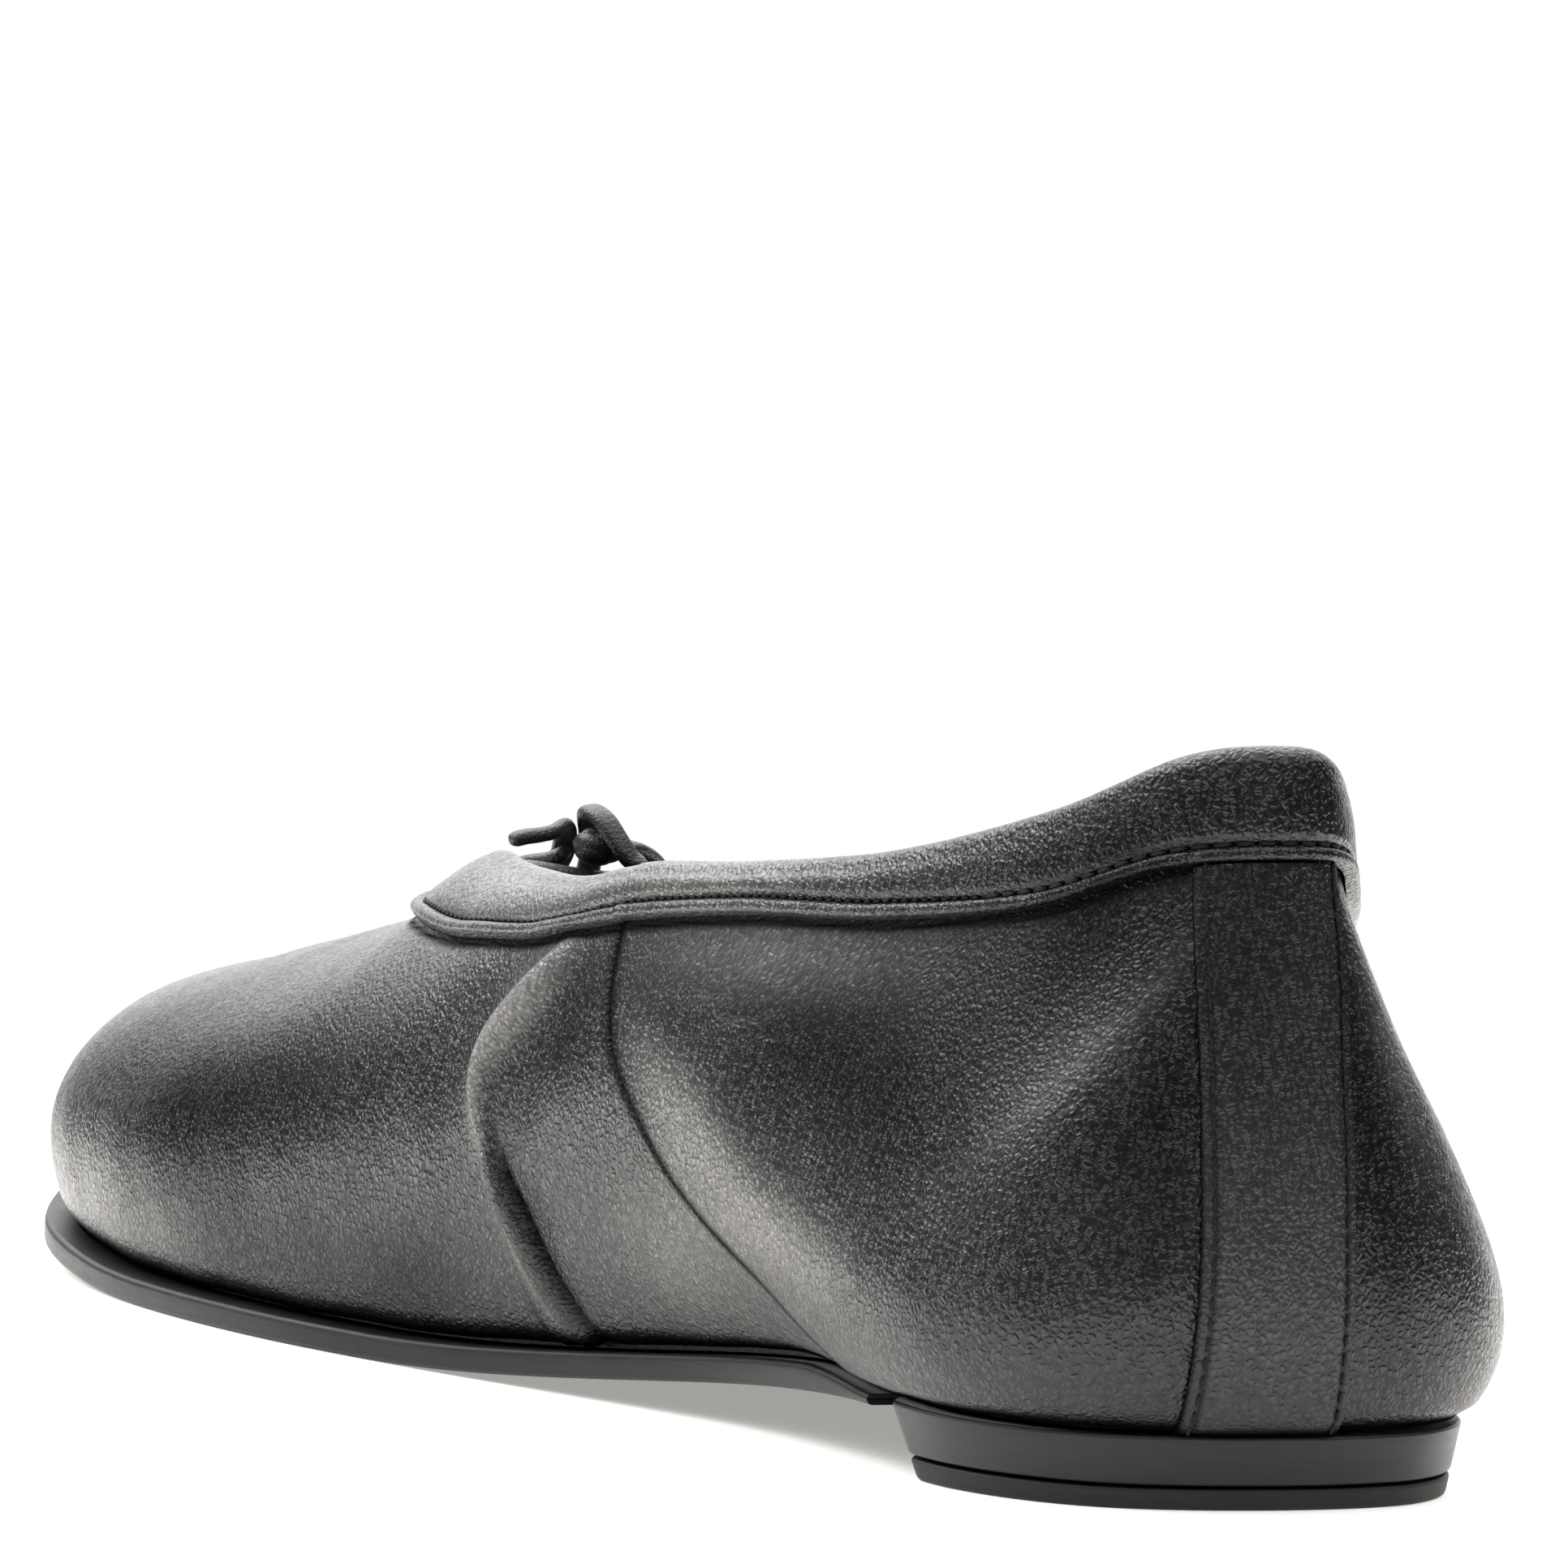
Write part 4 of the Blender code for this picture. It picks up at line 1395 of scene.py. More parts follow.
@dataclass(frozen=True)
class Camera:
    """The camera at the photograph's place, from a fit to the sole, heel and collar.

    The picture is 1932 pixels square. The anchor is a point of the heel's upper edge with its pixel, the
    turn and tilt give the view, and the roll is the camera's own.
    """

    picture: float = 1932.0
    anchor: tuple[float, float, float] = (0.0, 0.0015, 0.020)
    anchor_pixel: tuple[float, float] = (1478.0, 1569.0)
    distance: float = 2.020
    focal_pixels: float = 26818.0
    turn: float = 23.7
    tilt: float = 5.82
    roll: float = 2.23
    sensor: float = 36.0

    def build(self) -> bpy.types.Object:
        """Make the camera and hand it to the scene.

        Returns:
            The camera.
        """
        turn, tilt, roll = (math.radians(angle) for angle in (self.turn, self.tilt, self.roll))
        view = Vector((math.sin(turn) * math.cos(tilt), math.cos(turn) * math.cos(tilt), -math.sin(tilt)))
        level = Vector((math.cos(turn), -math.sin(turn), 0.0))
        upward = level.cross(view)
        right = level * math.cos(roll) + upward * math.sin(roll)
        down = level * math.sin(roll) - upward * math.cos(roll)
        middle = self.picture / 2
        offset = [(pixel - middle) / self.focal_pixels for pixel in self.anchor_pixel]
        forward = (view - right * offset[0] - down * offset[1]).normalized()
        right = (right - forward * right.dot(forward)).normalized()
        up = right.cross(forward)
        data = bpy.data.cameras.new("camera")
        data.sensor_fit = "HORIZONTAL"
        data.sensor_width = self.sensor
        data.lens = self.focal_pixels / self.picture * self.sensor
        data.clip_start = 0.1
        data.clip_end = 60.0
        camera = bpy.data.objects.new("camera", data)
        place = Vector(self.anchor) - view * self.distance
        camera.matrix_world = Matrix.Translation(place) @ Matrix((right, up, -forward)).transposed().to_4x4()
        bpy.context.collection.objects.link(camera)
        bpy.context.scene.camera = camera
        return camera


@dataclass(frozen=True)
class Bow:
    """The small bow of the drawstring: a knot and two flat laces, each a loop with its end."""

    wall: Wall
    leather: bpy.types.Material
    knot_across: float = -0.0014
    knot_setback: float = 0.0020
    knot_rise: float = 0.0033
    knot_half: tuple[float, float, float] = (0.0026, 0.0025, 0.0019)
    lace_width: float = 0.0024
    lace_thickness: float = 0.0015
    tip: float = 0.0009
    tip_size: float = 0.35
    wrap_reach: float = 0.0055
    smooth_passes: int = 6
    steps: int = 10
    sides: int = 20
    knot_rows: int = 48
    knot_columns: int = 96
    knot_slant: tuple[float, float, float] = (0.55, 0.25, 0.8)
    knot_turns: float = 3.6
    knot_relief: float = 0.10

    def middle(self) -> np.ndarray:
        """Return the knot's middle, counted from the sole's back.

        Returns:
            The point.
        """
        last = self.wall.last
        rim = float(last.column(np.array(TOE_STATION), "height")) * last.back_height
        along = last.collar_setback + last.collar_length + self.knot_setback
        return np.array([self.knot_across, along, rim + self.knot_rise])

    def build(self) -> None:
        knot = self.build_knot()
        for name, route in LACE_ROUTES.items():
            line = self.wall.last.to_frame(smooth_line(np.array(route), self.steps) + self.middle())
            lace = self.build_lace(name, line)
            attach(lace, "root")
            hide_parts(name)

    def build_lace(self, name: str, line: np.ndarray) -> bpy.types.Object:
        """Sweep the lace's flat round-edged section along its line.

        Args:
            name: The lace's name.
            line: The points of its middle, in the frame.

        Returns:
            The lace.
        """
        knot = self.wall.last.to_frame(self.middle())
        runs = unit(np.gradient(line, axis=0))
        away = line - knot
        reach = np.linalg.norm(away, axis=1, keepdims=True)
        wrap = np.exp(-((reach / self.wrap_reach) ** 2))
        face = unit(away) * wrap + np.array([0.0, 0.0, 1.0]) * (1.0 - wrap)
        face = unit(face - runs * np.sum(face * runs, axis=1, keepdims=True))
        for _ in range(self.smooth_passes):
            face[1:-1] = face[:-2] + face[1:-1] + face[2:]
            face = unit(face - runs * np.sum(face * runs, axis=1, keepdims=True))
        edge = np.cross(runs, face)
        angle = np.linspace(0.0, 2 * np.pi, self.sides, endpoint=False)
        across = np.sign(np.cos(angle)) * np.abs(np.cos(angle)) ** 0.7 * self.lace_width / 2
        thick = np.sign(np.sin(angle)) * np.abs(np.sin(angle)) ** 0.8 * self.lace_thickness / 2
        count = len(line)
        run = np.concatenate([[0.0], np.cumsum(np.linalg.norm(np.diff(line, axis=0), axis=1))])
        short = 1.0 - np.clip(np.minimum(run, run[-1] - run) / self.tip, 0.0, 1.0)
        size = (self.tip_size + (1.0 - self.tip_size) * np.sqrt(1.0 - short**2))[:, None, None]
        rings = (
            line[:, None, :]
            + edge[:, None, :] * across[None, :, None] * size
            + face[:, None, :] * thick[None, :, None] * size
        )
        points = np.concatenate([rings.reshape(-1, 3), line[:1], line[-1:]])
        faces = ring_faces(count, self.sides, False).tolist()
        for start, tip in ((0, count * self.sides), ((count - 1) * self.sides, count * self.sides + 1)):
            for spot in range(self.sides):
                faces.append((start + spot, start + (spot + 1) % self.sides, tip))
        lace = make_piece(name + "_leather", points, faces, sharp=50)
        dress(lace, self.leather)
        return lace

    def build_knot(self) -> bpy.types.Object:
        """Make the knot: a round body wrapped by slanting turns of the lace.

        Returns:
            The knot.
        """
        rows, columns = self.knot_rows, self.knot_columns
        height = np.linspace(0.0, np.pi, rows)[1:-1, None]
        turn = np.linspace(0.0, 2 * np.pi, columns, endpoint=False)[None, :]
        level = np.sin(height)
        upright = np.cos(height) + 0 * turn
        direction = np.stack([level * np.cos(turn), level * np.sin(turn), upright], axis=-1)
        slant = direction @ np.array(self.knot_slant)
        turns = np.abs(np.cos(slant * self.knot_turns + 0.5)) ** 0.6
        size = 1.0 + self.knot_relief * (turns - 0.6)
        body = direction * size[..., None] * np.array(self.knot_half)
        poles = np.array([[0, 0, 1.0], [0, 0, -1.0]]) * self.knot_half[2]
        points = self.wall.last.to_frame(np.concatenate([body.reshape(-1, 3), poles]) + self.middle())
        faces = ring_faces(rows - 2, columns, False).tolist()
        for start, pole in ((0, (rows - 2) * columns), ((rows - 3) * columns, (rows - 2) * columns + 1)):
            for spot in range(columns):
                faces.append((start + spot, start + (spot + 1) % columns, pole))
        knot = make_piece("bow_knot_leather", points, faces)
        dress(knot, self.leather)
        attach(knot, "root")
        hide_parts("bow_knot")
        LOG.info("bow knot: %d faces", len(faces))
        return knot


@dataclass(frozen=True)
class Upper:
    """The vamp and quarters as one hollow wall of creased leather, with its lining inside."""

    wall: Wall
    leather: bpy.types.Material
    lining: bpy.types.Material
    plan: ColumnPlan = ColumnPlan(quarter=110, vamp_outer=270, vamp_inner=100)
    outer_rows: int = 100
    inner_rows: int = 24
    pull_station: float = 3.6
    pull_along: float = 1.3
    pull_way: float = 0.84
    pull_upward: float = 0.16
    pull_strength: float = 1.25

    def build(self) -> bpy.types.Object:
        """Make the wall, dress it and let it stand for the solid wall.

        Returns:
            The upper.
        """
        columns = self.plan.columns()
        outer_share = np.linspace(0.0, 1.0, self.outer_rows)
        inner_share = np.linspace(1.0, 0.0, self.inner_rows)
        tops = np.array([float(way_below_rim(self.wall, column, self.wall.rim_cover)) for column in columns])
        outer_way = tops[:, None] * outer_share[None, :]
        inner_way = tops[:, None] * inner_share[None, :]
        outer_at = np.array([column_station(self.wall, c, w) for c, w in zip(columns, outer_way)])
        inner_at = np.array([column_station(self.wall, c, w) for c, w in zip(columns, inner_way)])
        lift = np.array([
            self.wall.panel_lift(c[0], c[1], s, w) for c, s, w in zip(columns, outer_at, outer_way)
        ])
        outer = self.wall.surface(outer_at, outer_way, lift)
        inner = self.wall.surface(inner_at, inner_way, np.full(inner_at.shape, -self.wall.wall))
        rings = np.concatenate([outer, inner], axis=1)
        size = self.outer_rows + self.inner_rows
        faces = ring_faces(len(columns), size, True)
        piece = make_piece("upper_leather", self.wall.last.to_frame(rings.reshape(-1, 3)), faces)
        stretch = np.concatenate([self.stretch(outer_at, outer_way), np.zeros(inner_at.shape)], axis=1)
        paint(piece, "stretch", stretch.ravel())
        edges = np.array([
            way_below_rim(self.wall, c, self.wall.band_at(c) + self.wall.band_shadow * np.array([0.0, 1.0]))
            for c in columns
        ])
        shadow = np.exp(-(((outer_way - edges[:, 1:]) / (edges[:, :1] - edges[:, 1:])) ** 2))
        shade = np.maximum(self.wall.shade(outer_at, outer_way), shadow)
        shade = np.concatenate([shade, np.zeros(inner_at.shape)], axis=1)
        paint(piece, "shade", shade.ravel())
        # Painted shade and painted highlights in soft patches, and painted highlights along the folds'
        # crests.
        painted_shade = patch_cover(PAINTED_SHADE_PATCHES, outer_at, outer_way)
        pale = patch_cover(PAINTED_HIGHLIGHT_PATCHES, outer_at, outer_way) + self.wall.crest_highlight(outer_at, outer_way)
        for label, cover in (("painted_shade", painted_shade), ("pale", pale)):
            paint(piece, label, np.concatenate([cover, np.zeros(inner_at.shape)], axis=1).ravel())
        dress(piece, self.leather, self.lining)
        spot = np.tile(np.arange(size), len(columns))
        piece.data.polygons.foreach_set("material_index", (spot >= self.outer_rows).astype(np.int32))
        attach(piece, "root")
        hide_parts("upper")
        LOG.info("upper: %d faces", len(faces))
        return piece

    def stretch(self, at: np.ndarray, way: np.ndarray) -> np.ndarray:
        """Return where the leather is pulled into long creases: both quarters, under the collar.

        Args:
            at: The stations.
            way: The shares of the way from sole to collar.

        Returns:
            The strength of the pull, from 0 to 1.
        """
        back = np.minimum(at, STATION_COUNT - at)
        along = np.exp(-(((back - self.pull_station) / self.pull_along) ** 2))
        upward = np.exp(-(((way - self.pull_way) / self.pull_upward) ** 2))
        return np.clip(self.pull_strength * along * upward, 0.0, 1.0)


@dataclass(frozen=True)
class CollarBand:
    """The band round the collar, with a rolled bead at its foot and a crown that laps into the shoe."""

    wall: Wall
    leather: bpy.types.Material
    thickness: float = 0.0012
    bead_width: float = 0.00125
    bead_rise: float = 0.00025
    groove_depth: float = 0.00055
    groove_width: float = 0.0006
    crown: float = 0.0021
    lap: float = 0.0075
    swell: float = 0.0004
    lining_share: float = 0.4
    lift_way: float = 0.93
    thread_depth: float = 0.62
    plan: ColumnPlan = ColumnPlan(quarter=100, vamp_outer=150, vamp_inner=90, focus_gain=0.8)

    def section(self, width: float, lift: float) -> np.ndarray:
        """Draw the band's section.

        Args:
            width: The band's width there.
            lift: How far the leather under it stands above the vamp's.

        Returns:
            Rows of a distance below the rim and a distance out from the vamp's leather.
        """
        under = lift + self.wall.last.gap
        over = under + self.thickness
        inside = -self.wall.wall
        rows = [(width, under)]
        for angle in np.linspace(0.15, math.pi, 9)[:-1]:
            below = width - self.bead_width * (1.0 - math.cos(angle)) / 2
            rise = (self.bead_rise + self.swell) * math.sin(angle) ** 0.7
            rows.append((below, over - self.swell + rise))
        groove = width - self.bead_width - self.groove_width / 2
        rows.append((groove, over - self.groove_depth))
        plain = groove - self.groove_width / 2
        for share in np.linspace(0.0, 1.0, 9):
            rise = self.swell * math.sin(math.pi * share) ** 0.7
            rows.append((plain + (self.crown - plain) * share, over + rise))
        middle = (over + inside - self.thickness * self.lining_share) / 2
        half = (over - inside + self.thickness * self.lining_share) / 2
        for angle in np.linspace(0.0, math.pi, 13)[1:-1]:
            rows.append((self.crown * (1.0 - math.sin(angle)), middle + half * math.cos(angle)))
        for share in np.linspace(0.0, 1.0, 5):
            below = self.crown + (self.lap - self.crown) * share
            rows.append((below, inside - self.thickness * self.lining_share))
        rows.append((self.lap, inside))
        rows.append((self.wall.rim_cover - self.wall.last.gap, inside))
        rows.append((self.wall.rim_cover - self.wall.last.gap, under))
        return np.array(rows)

    def build(self) -> bpy.types.Object:
        """Make the band, dress it and let it stand for the solid band.

        Returns:
            The band.
        """
        ways, stations, offsets = [], [], []
        for column in self.plan.columns():
            probe = np.array(self.lift_way)
            station = column_station(self.wall, column, probe)
            lift = float(self.wall.panel_lift(column[0], column[1], station, probe))
            rows = self.section(self.wall.band_at(column), max(lift, 0.0))
            way = way_below_rim(self.wall, column, rows[:, 0])
            ways.append(way)
            stations.append(column_station(self.wall, column, way))
            offsets.append(rows[:, 1])
        ways, stations, offsets = np.array(ways), np.array(stations), np.array(offsets)
        rings = self.wall.surface(stations, ways, offsets)
        faces = ring_faces(rings.shape[0], rings.shape[1], True)
        points = self.wall.last.to_frame(rings.reshape(-1, 3))
        piece = make_piece("collar_band_leather", points, faces, sharp=60)
        # Painted shade and painted highlights from the wall's patches, on the band's outside only.
        outside = (offsets > 0.0) * 1.0
        for label, patches in (("painted_shade", PAINTED_SHADE_PATCHES), ("pale", PAINTED_HIGHLIGHT_PATCHES)):
            paint(piece, label, (patch_cover(patches, stations, ways) * outside).ravel())
        dress(piece, self.leather)
        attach(piece, "root")
        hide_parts("collar_band")
        LOG.info("collar band: %d faces", len(faces))
        return piece

    def groove_line(self) -> tuple[np.ndarray, np.ndarray, np.ndarray]:
        """Return the line of the stitched groove, the wall's direction along it and its stations."""
        columns = self.plan.columns()
        inset = self.bead_width + self.groove_width / 2
        ways = np.array([float(way_below_rim(self.wall, c, self.wall.band_at(c) - inset)) for c in columns])
        stations = np.array([float(column_station(self.wall, c, way)) for c, way in zip(columns, ways)])
        lifts = np.array([
            float(self.wall.panel_lift(c[0], c[1], np.array(at), np.array(way)))
            for c, at, way in zip(columns, stations, ways)
        ])
        sunk = self.groove_depth * self.thread_depth
        out = np.maximum(lifts, 0.0) + self.wall.last.gap + self.thickness - sunk
        points = self.wall.surface(stations, ways, out)
        return self.wall.last.to_frame(points), self.wall.last.wall_normal(stations, ways), stations


@dataclass(frozen=True)
class BackStrip:
    """The strip over the back seam, with its folded edges."""

    wall: Wall
    leather: bpy.types.Material
    station: float = 0.10
    width: float = 0.0146
    outer_low: float = 0.0084
    outer_high: float = 0.0056
    thickness: float = 0.0008
    band_width: float = 0.0105
    stitch_inset: float = 0.0010
    stitch_dip: float = 0.00022
    dip_width: float = 0.0004
    shade_width: float = 0.0003
    thread_depth: float = 0.00012
    stitch_shade: float = 0.8
    # Painted shade high on the strip's outer side, and a painted highlight low down.
    painted_shade: float = 0.24
    painted_shade_start: float = 0.42
    painted_shade_span: float = 0.35
    pale: float = 0.10
    highlight_way: float = 0.30
    highlight_reach: float = 0.22
    rows: int = 110
    across: int = 26

    def half(self, ways: np.ndarray) -> np.ndarray:
        """Return how far the strip reaches on its outer side."""
        return self.outer_low + (self.outer_high - self.outer_low) * ways

    def spread(self) -> tuple[np.ndarray, np.ndarray]:
        """Return the shares of the way up the strip, and the size of one station at each."""
        back = (Panel.QUARTER, Side.OUTER, 0.0)
        top = float(way_below_rim(self.wall, back, self.band_width + self.wall.last.gap))
        ways = np.linspace(0.0, top, self.rows)
        reach = self.wall.last.station_reach
        before = self.wall.last.wall_point(np.full(self.rows, self.station - reach), ways)
        after = self.wall.last.wall_point(np.full(self.rows, self.station + reach), ways)
        return ways, np.linalg.norm(after - before, axis=1) / (2 * reach)

    def build(self) -> bpy.types.Object:
        """Make the strip, dress it and let it stand for the solid strip.

        Returns:
            The strip.
        """
        under = self.wall.quarter_thickness + self.wall.last.gap
        over = under + self.thickness
        share = np.linspace(-1.0, 1.0, self.across)
        face_share = np.sin(share * math.pi / 2) * 0.5 + share * 0.5
        edge = np.clip((1.0 - np.abs(face_share)) * self.width / 2 / self.thickness, 0.0, 1.0)
        face_offset = under + (over - under) * np.sqrt(1.0 - (1.0 - edge) ** 2)
        inward = (1.0 - np.abs(face_share)) * self.width / 2
        dip = np.exp(-((inward - self.stitch_inset) / self.dip_width) ** 2)
        face_offset = face_offset - self.stitch_dip * dip
        section_share = np.concatenate([face_share, face_share[-2:0:-1]])
        section_offset = np.concatenate([face_offset, np.full(self.across - 2, under)])
        ways, sizes = self.spread()
        stations = self.station + section_share[None, :] * self.half(ways)[:, None] / sizes[:, None]
        inner = self.station + section_share[None, :] * self.width / 2 / sizes[:, None]
        stations = np.where(section_share[None, :] < 0.0, inner, stations)
        way = np.broadcast_to(ways[:, None], stations.shape)
        rings = self.wall.surface(stations, way, np.broadcast_to(section_offset, stations.shape))
        count = len(section_share)
        faces = ring_faces(self.rows, count, False).tolist()
        for start in (0, (self.rows - 1) * count):
            for spot in range(self.across - 1):
                low = start + (count - spot) % count
                faces.append((start + spot, start + spot + 1, start + (count - spot - 1), low))
        faces = [tuple(dict.fromkeys(face)) for face in faces]
        points = self.wall.last.to_frame(rings.reshape(-1, 3))
        piece = make_piece("back_strip_leather", points, faces, sharp=60)
        # Painted shade along the strip's edges, along its stitch lines and at its foot.
        inward = (1.0 - np.abs(section_share)) * self.width / 2
        rim_shade = np.exp(-((inward / self.shade_width) ** 2))
        stitch_shade = self.stitch_shade * np.exp(-(((inward - self.stitch_inset) / self.shade_width) ** 2))
        dark = np.maximum(rim_shade, stitch_shade)
        foot = np.exp(-((way / self.wall.foot_shade_way) ** 4))
        paint(piece, "shade", np.maximum(np.broadcast_to(dark, way.shape), foot).ravel())
        # Painted shade high on the strip's outer side, and a painted highlight low down.
        high = smooth_step((way - self.painted_shade_start) / self.painted_shade_span)
        left = smooth_step((section_share[None, :] + 0.6) / 0.9)
        paint(piece, "painted_shade", (high * self.painted_shade * left).ravel())
        painted_light = np.exp(-(((way - self.highlight_way) / self.highlight_reach) ** 2))
        paint(piece, "pale", (self.pale * painted_light).ravel())
        dress(piece, self.leather)
        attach(piece, "root")
        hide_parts("back_strip")
        LOG.info("back strip: %d faces", len(faces))
        return piece

    def stitch_line(self, sign: float) -> tuple[np.ndarray, np.ndarray]:
        """Return the line of stitches inside one edge, and the wall's direction along it.

        Args:
            sign: 1 for the outer edge and -1 for the inner one.

        Returns:
            The points of the line and the directions out of the leather.
        """
        ways, sizes = self.spread()
        half = self.half(ways) if sign > 0.0 else self.width / 2
        stations = self.station + sign * (half - self.stitch_inset) / sizes
        top = self.wall.quarter_thickness + self.wall.last.gap + self.thickness
        points = self.wall.surface(stations, ways, np.full(self.rows, top - self.thread_depth))
        return self.wall.last.to_frame(points[2:]), self.wall.last.wall_normal(stations, ways)[2:]


@dataclass(frozen=True)
class Stitching:
    """Rows of stitches, set along lines by a Geometry Nodes tree."""

    thread: bpy.types.Material

    def tree(self) -> bpy.types.NodeTree:
        """Build the tree that sets stitches along a line.

        Returns:
            The tree, with inputs for the spacing, the length and the thickness of a stitch.
        """
        tree = bpy.data.node_groups.new("stitch_row", "GeometryNodeTree")
        tree.interface.new_socket("Line", in_out="INPUT", socket_type="NodeSocketGeometry")
        for name in ("Spacing", "Length", "Thickness"):
            tree.interface.new_socket(name, in_out="INPUT", socket_type="NodeSocketFloat")
        tree.interface.new_socket("Stitches", in_out="OUTPUT", socket_type="NodeSocketGeometry")
        make = tree.nodes.new
        link = tree.links.new
        source = make("NodeGroupInput")
        curve = make("GeometryNodeMeshToCurve")
        link(source.outputs["Line"], curve.inputs["Mesh"])
        resample = make("GeometryNodeResampleCurve")
        resample.mode = "LENGTH"
        link(curve.outputs["Curve"], resample.inputs["Curve"])
        link(source.outputs["Spacing"], resample.inputs["Length"])
        ball = make("GeometryNodeMeshUVSphere")
        ball.inputs["Segments"].default_value = 8
        ball.inputs["Rings"].default_value = 6
        ball.inputs["Radius"].default_value = 0.5
        size = make("ShaderNodeCombineXYZ")
        link(source.outputs["Length"], size.inputs["X"])
        link(source.outputs["Thickness"], size.inputs["Y"])
        link(source.outputs["Thickness"], size.inputs["Z"])
        shape = make("GeometryNodeTransform")
        link(ball.outputs["Mesh"], shape.inputs["Geometry"])
        link(size.outputs["Vector"], shape.inputs["Scale"])
        run = make("FunctionNodeAlignRotationToVector")
        run.axis = "X"
        link(make("GeometryNodeInputTangent").outputs["Tangent"], run.inputs["Vector"])
        out = make("GeometryNodeInputNamedAttribute")
        out.data_type = "FLOAT_VECTOR"
        out.inputs["Name"].default_value = "outward"
        face = make("FunctionNodeAlignRotationToVector")
        face.axis = "Z"
        face.pivot_axis = "X"
        link(run.outputs["Rotation"], face.inputs["Rotation"])
        link(out.outputs["Attribute"], face.inputs["Vector"])
        set_down = make("GeometryNodeInstanceOnPoints")
        link(resample.outputs["Curve"], set_down.inputs["Points"])
        link(shape.outputs["Geometry"], set_down.inputs["Instance"])
        link(face.outputs["Rotation"], set_down.inputs["Rotation"])
        real = make("GeometryNodeRealizeInstances")
        link(set_down.outputs["Instances"], real.inputs["Geometry"])
        coat = make("GeometryNodeSetMaterial")
        coat.inputs["Material"].default_value = self.thread
        link(real.outputs["Geometry"], coat.inputs["Geometry"])
        link(coat.outputs["Geometry"], make("NodeGroupOutput").inputs["Stitches"])
        return tree

    def sew(self, name: str, line: np.ndarray, outward: np.ndarray, sizes: dict) -> None:
        """Sew one row of stitches.

        Args:
            name: The row's name.
            line: The points of the row.
            outward: The direction out of the leather at each point.
            sizes: The tree's inputs by name, in metres.
        """
        edges = [(spot, spot + 1) for spot in range(len(line) - 1)]
        mesh = bpy.data.meshes.new(name + "_line")
        mesh.from_pydata(line.tolist(), edges, [])
        layer = mesh.attributes.new("outward", "FLOAT_VECTOR", "POINT")
        layer.data.foreach_set("vector", outward.astype(np.float32).ravel())
        carrier = bpy.data.objects.new(name + "_line", mesh)
        bpy.context.collection.objects.link(carrier)
        modifier = carrier.modifiers.new("stitches", "NODES")
        modifier.node_group = self.tree()
        for item in modifier.node_group.interface.items_tree:
            if item.in_out == "INPUT" and item.name in sizes:
                modifier[item.identifier] = sizes[item.name]
        evaluated = carrier.evaluated_get(bpy.context.evaluated_depsgraph_get())
        row = bpy.data.objects.new(name, bpy.data.meshes.new_from_object(evaluated))
        carrier.modifiers.clear()
        bpy.data.objects.remove(carrier, do_unlink=True)
        row.data.name = name
        row.data.shade_smooth()
        bpy.context.collection.objects.link(row)
        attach(row, "root")
        LOG.info("%s: %d faces", name, len(row.data.polygons))


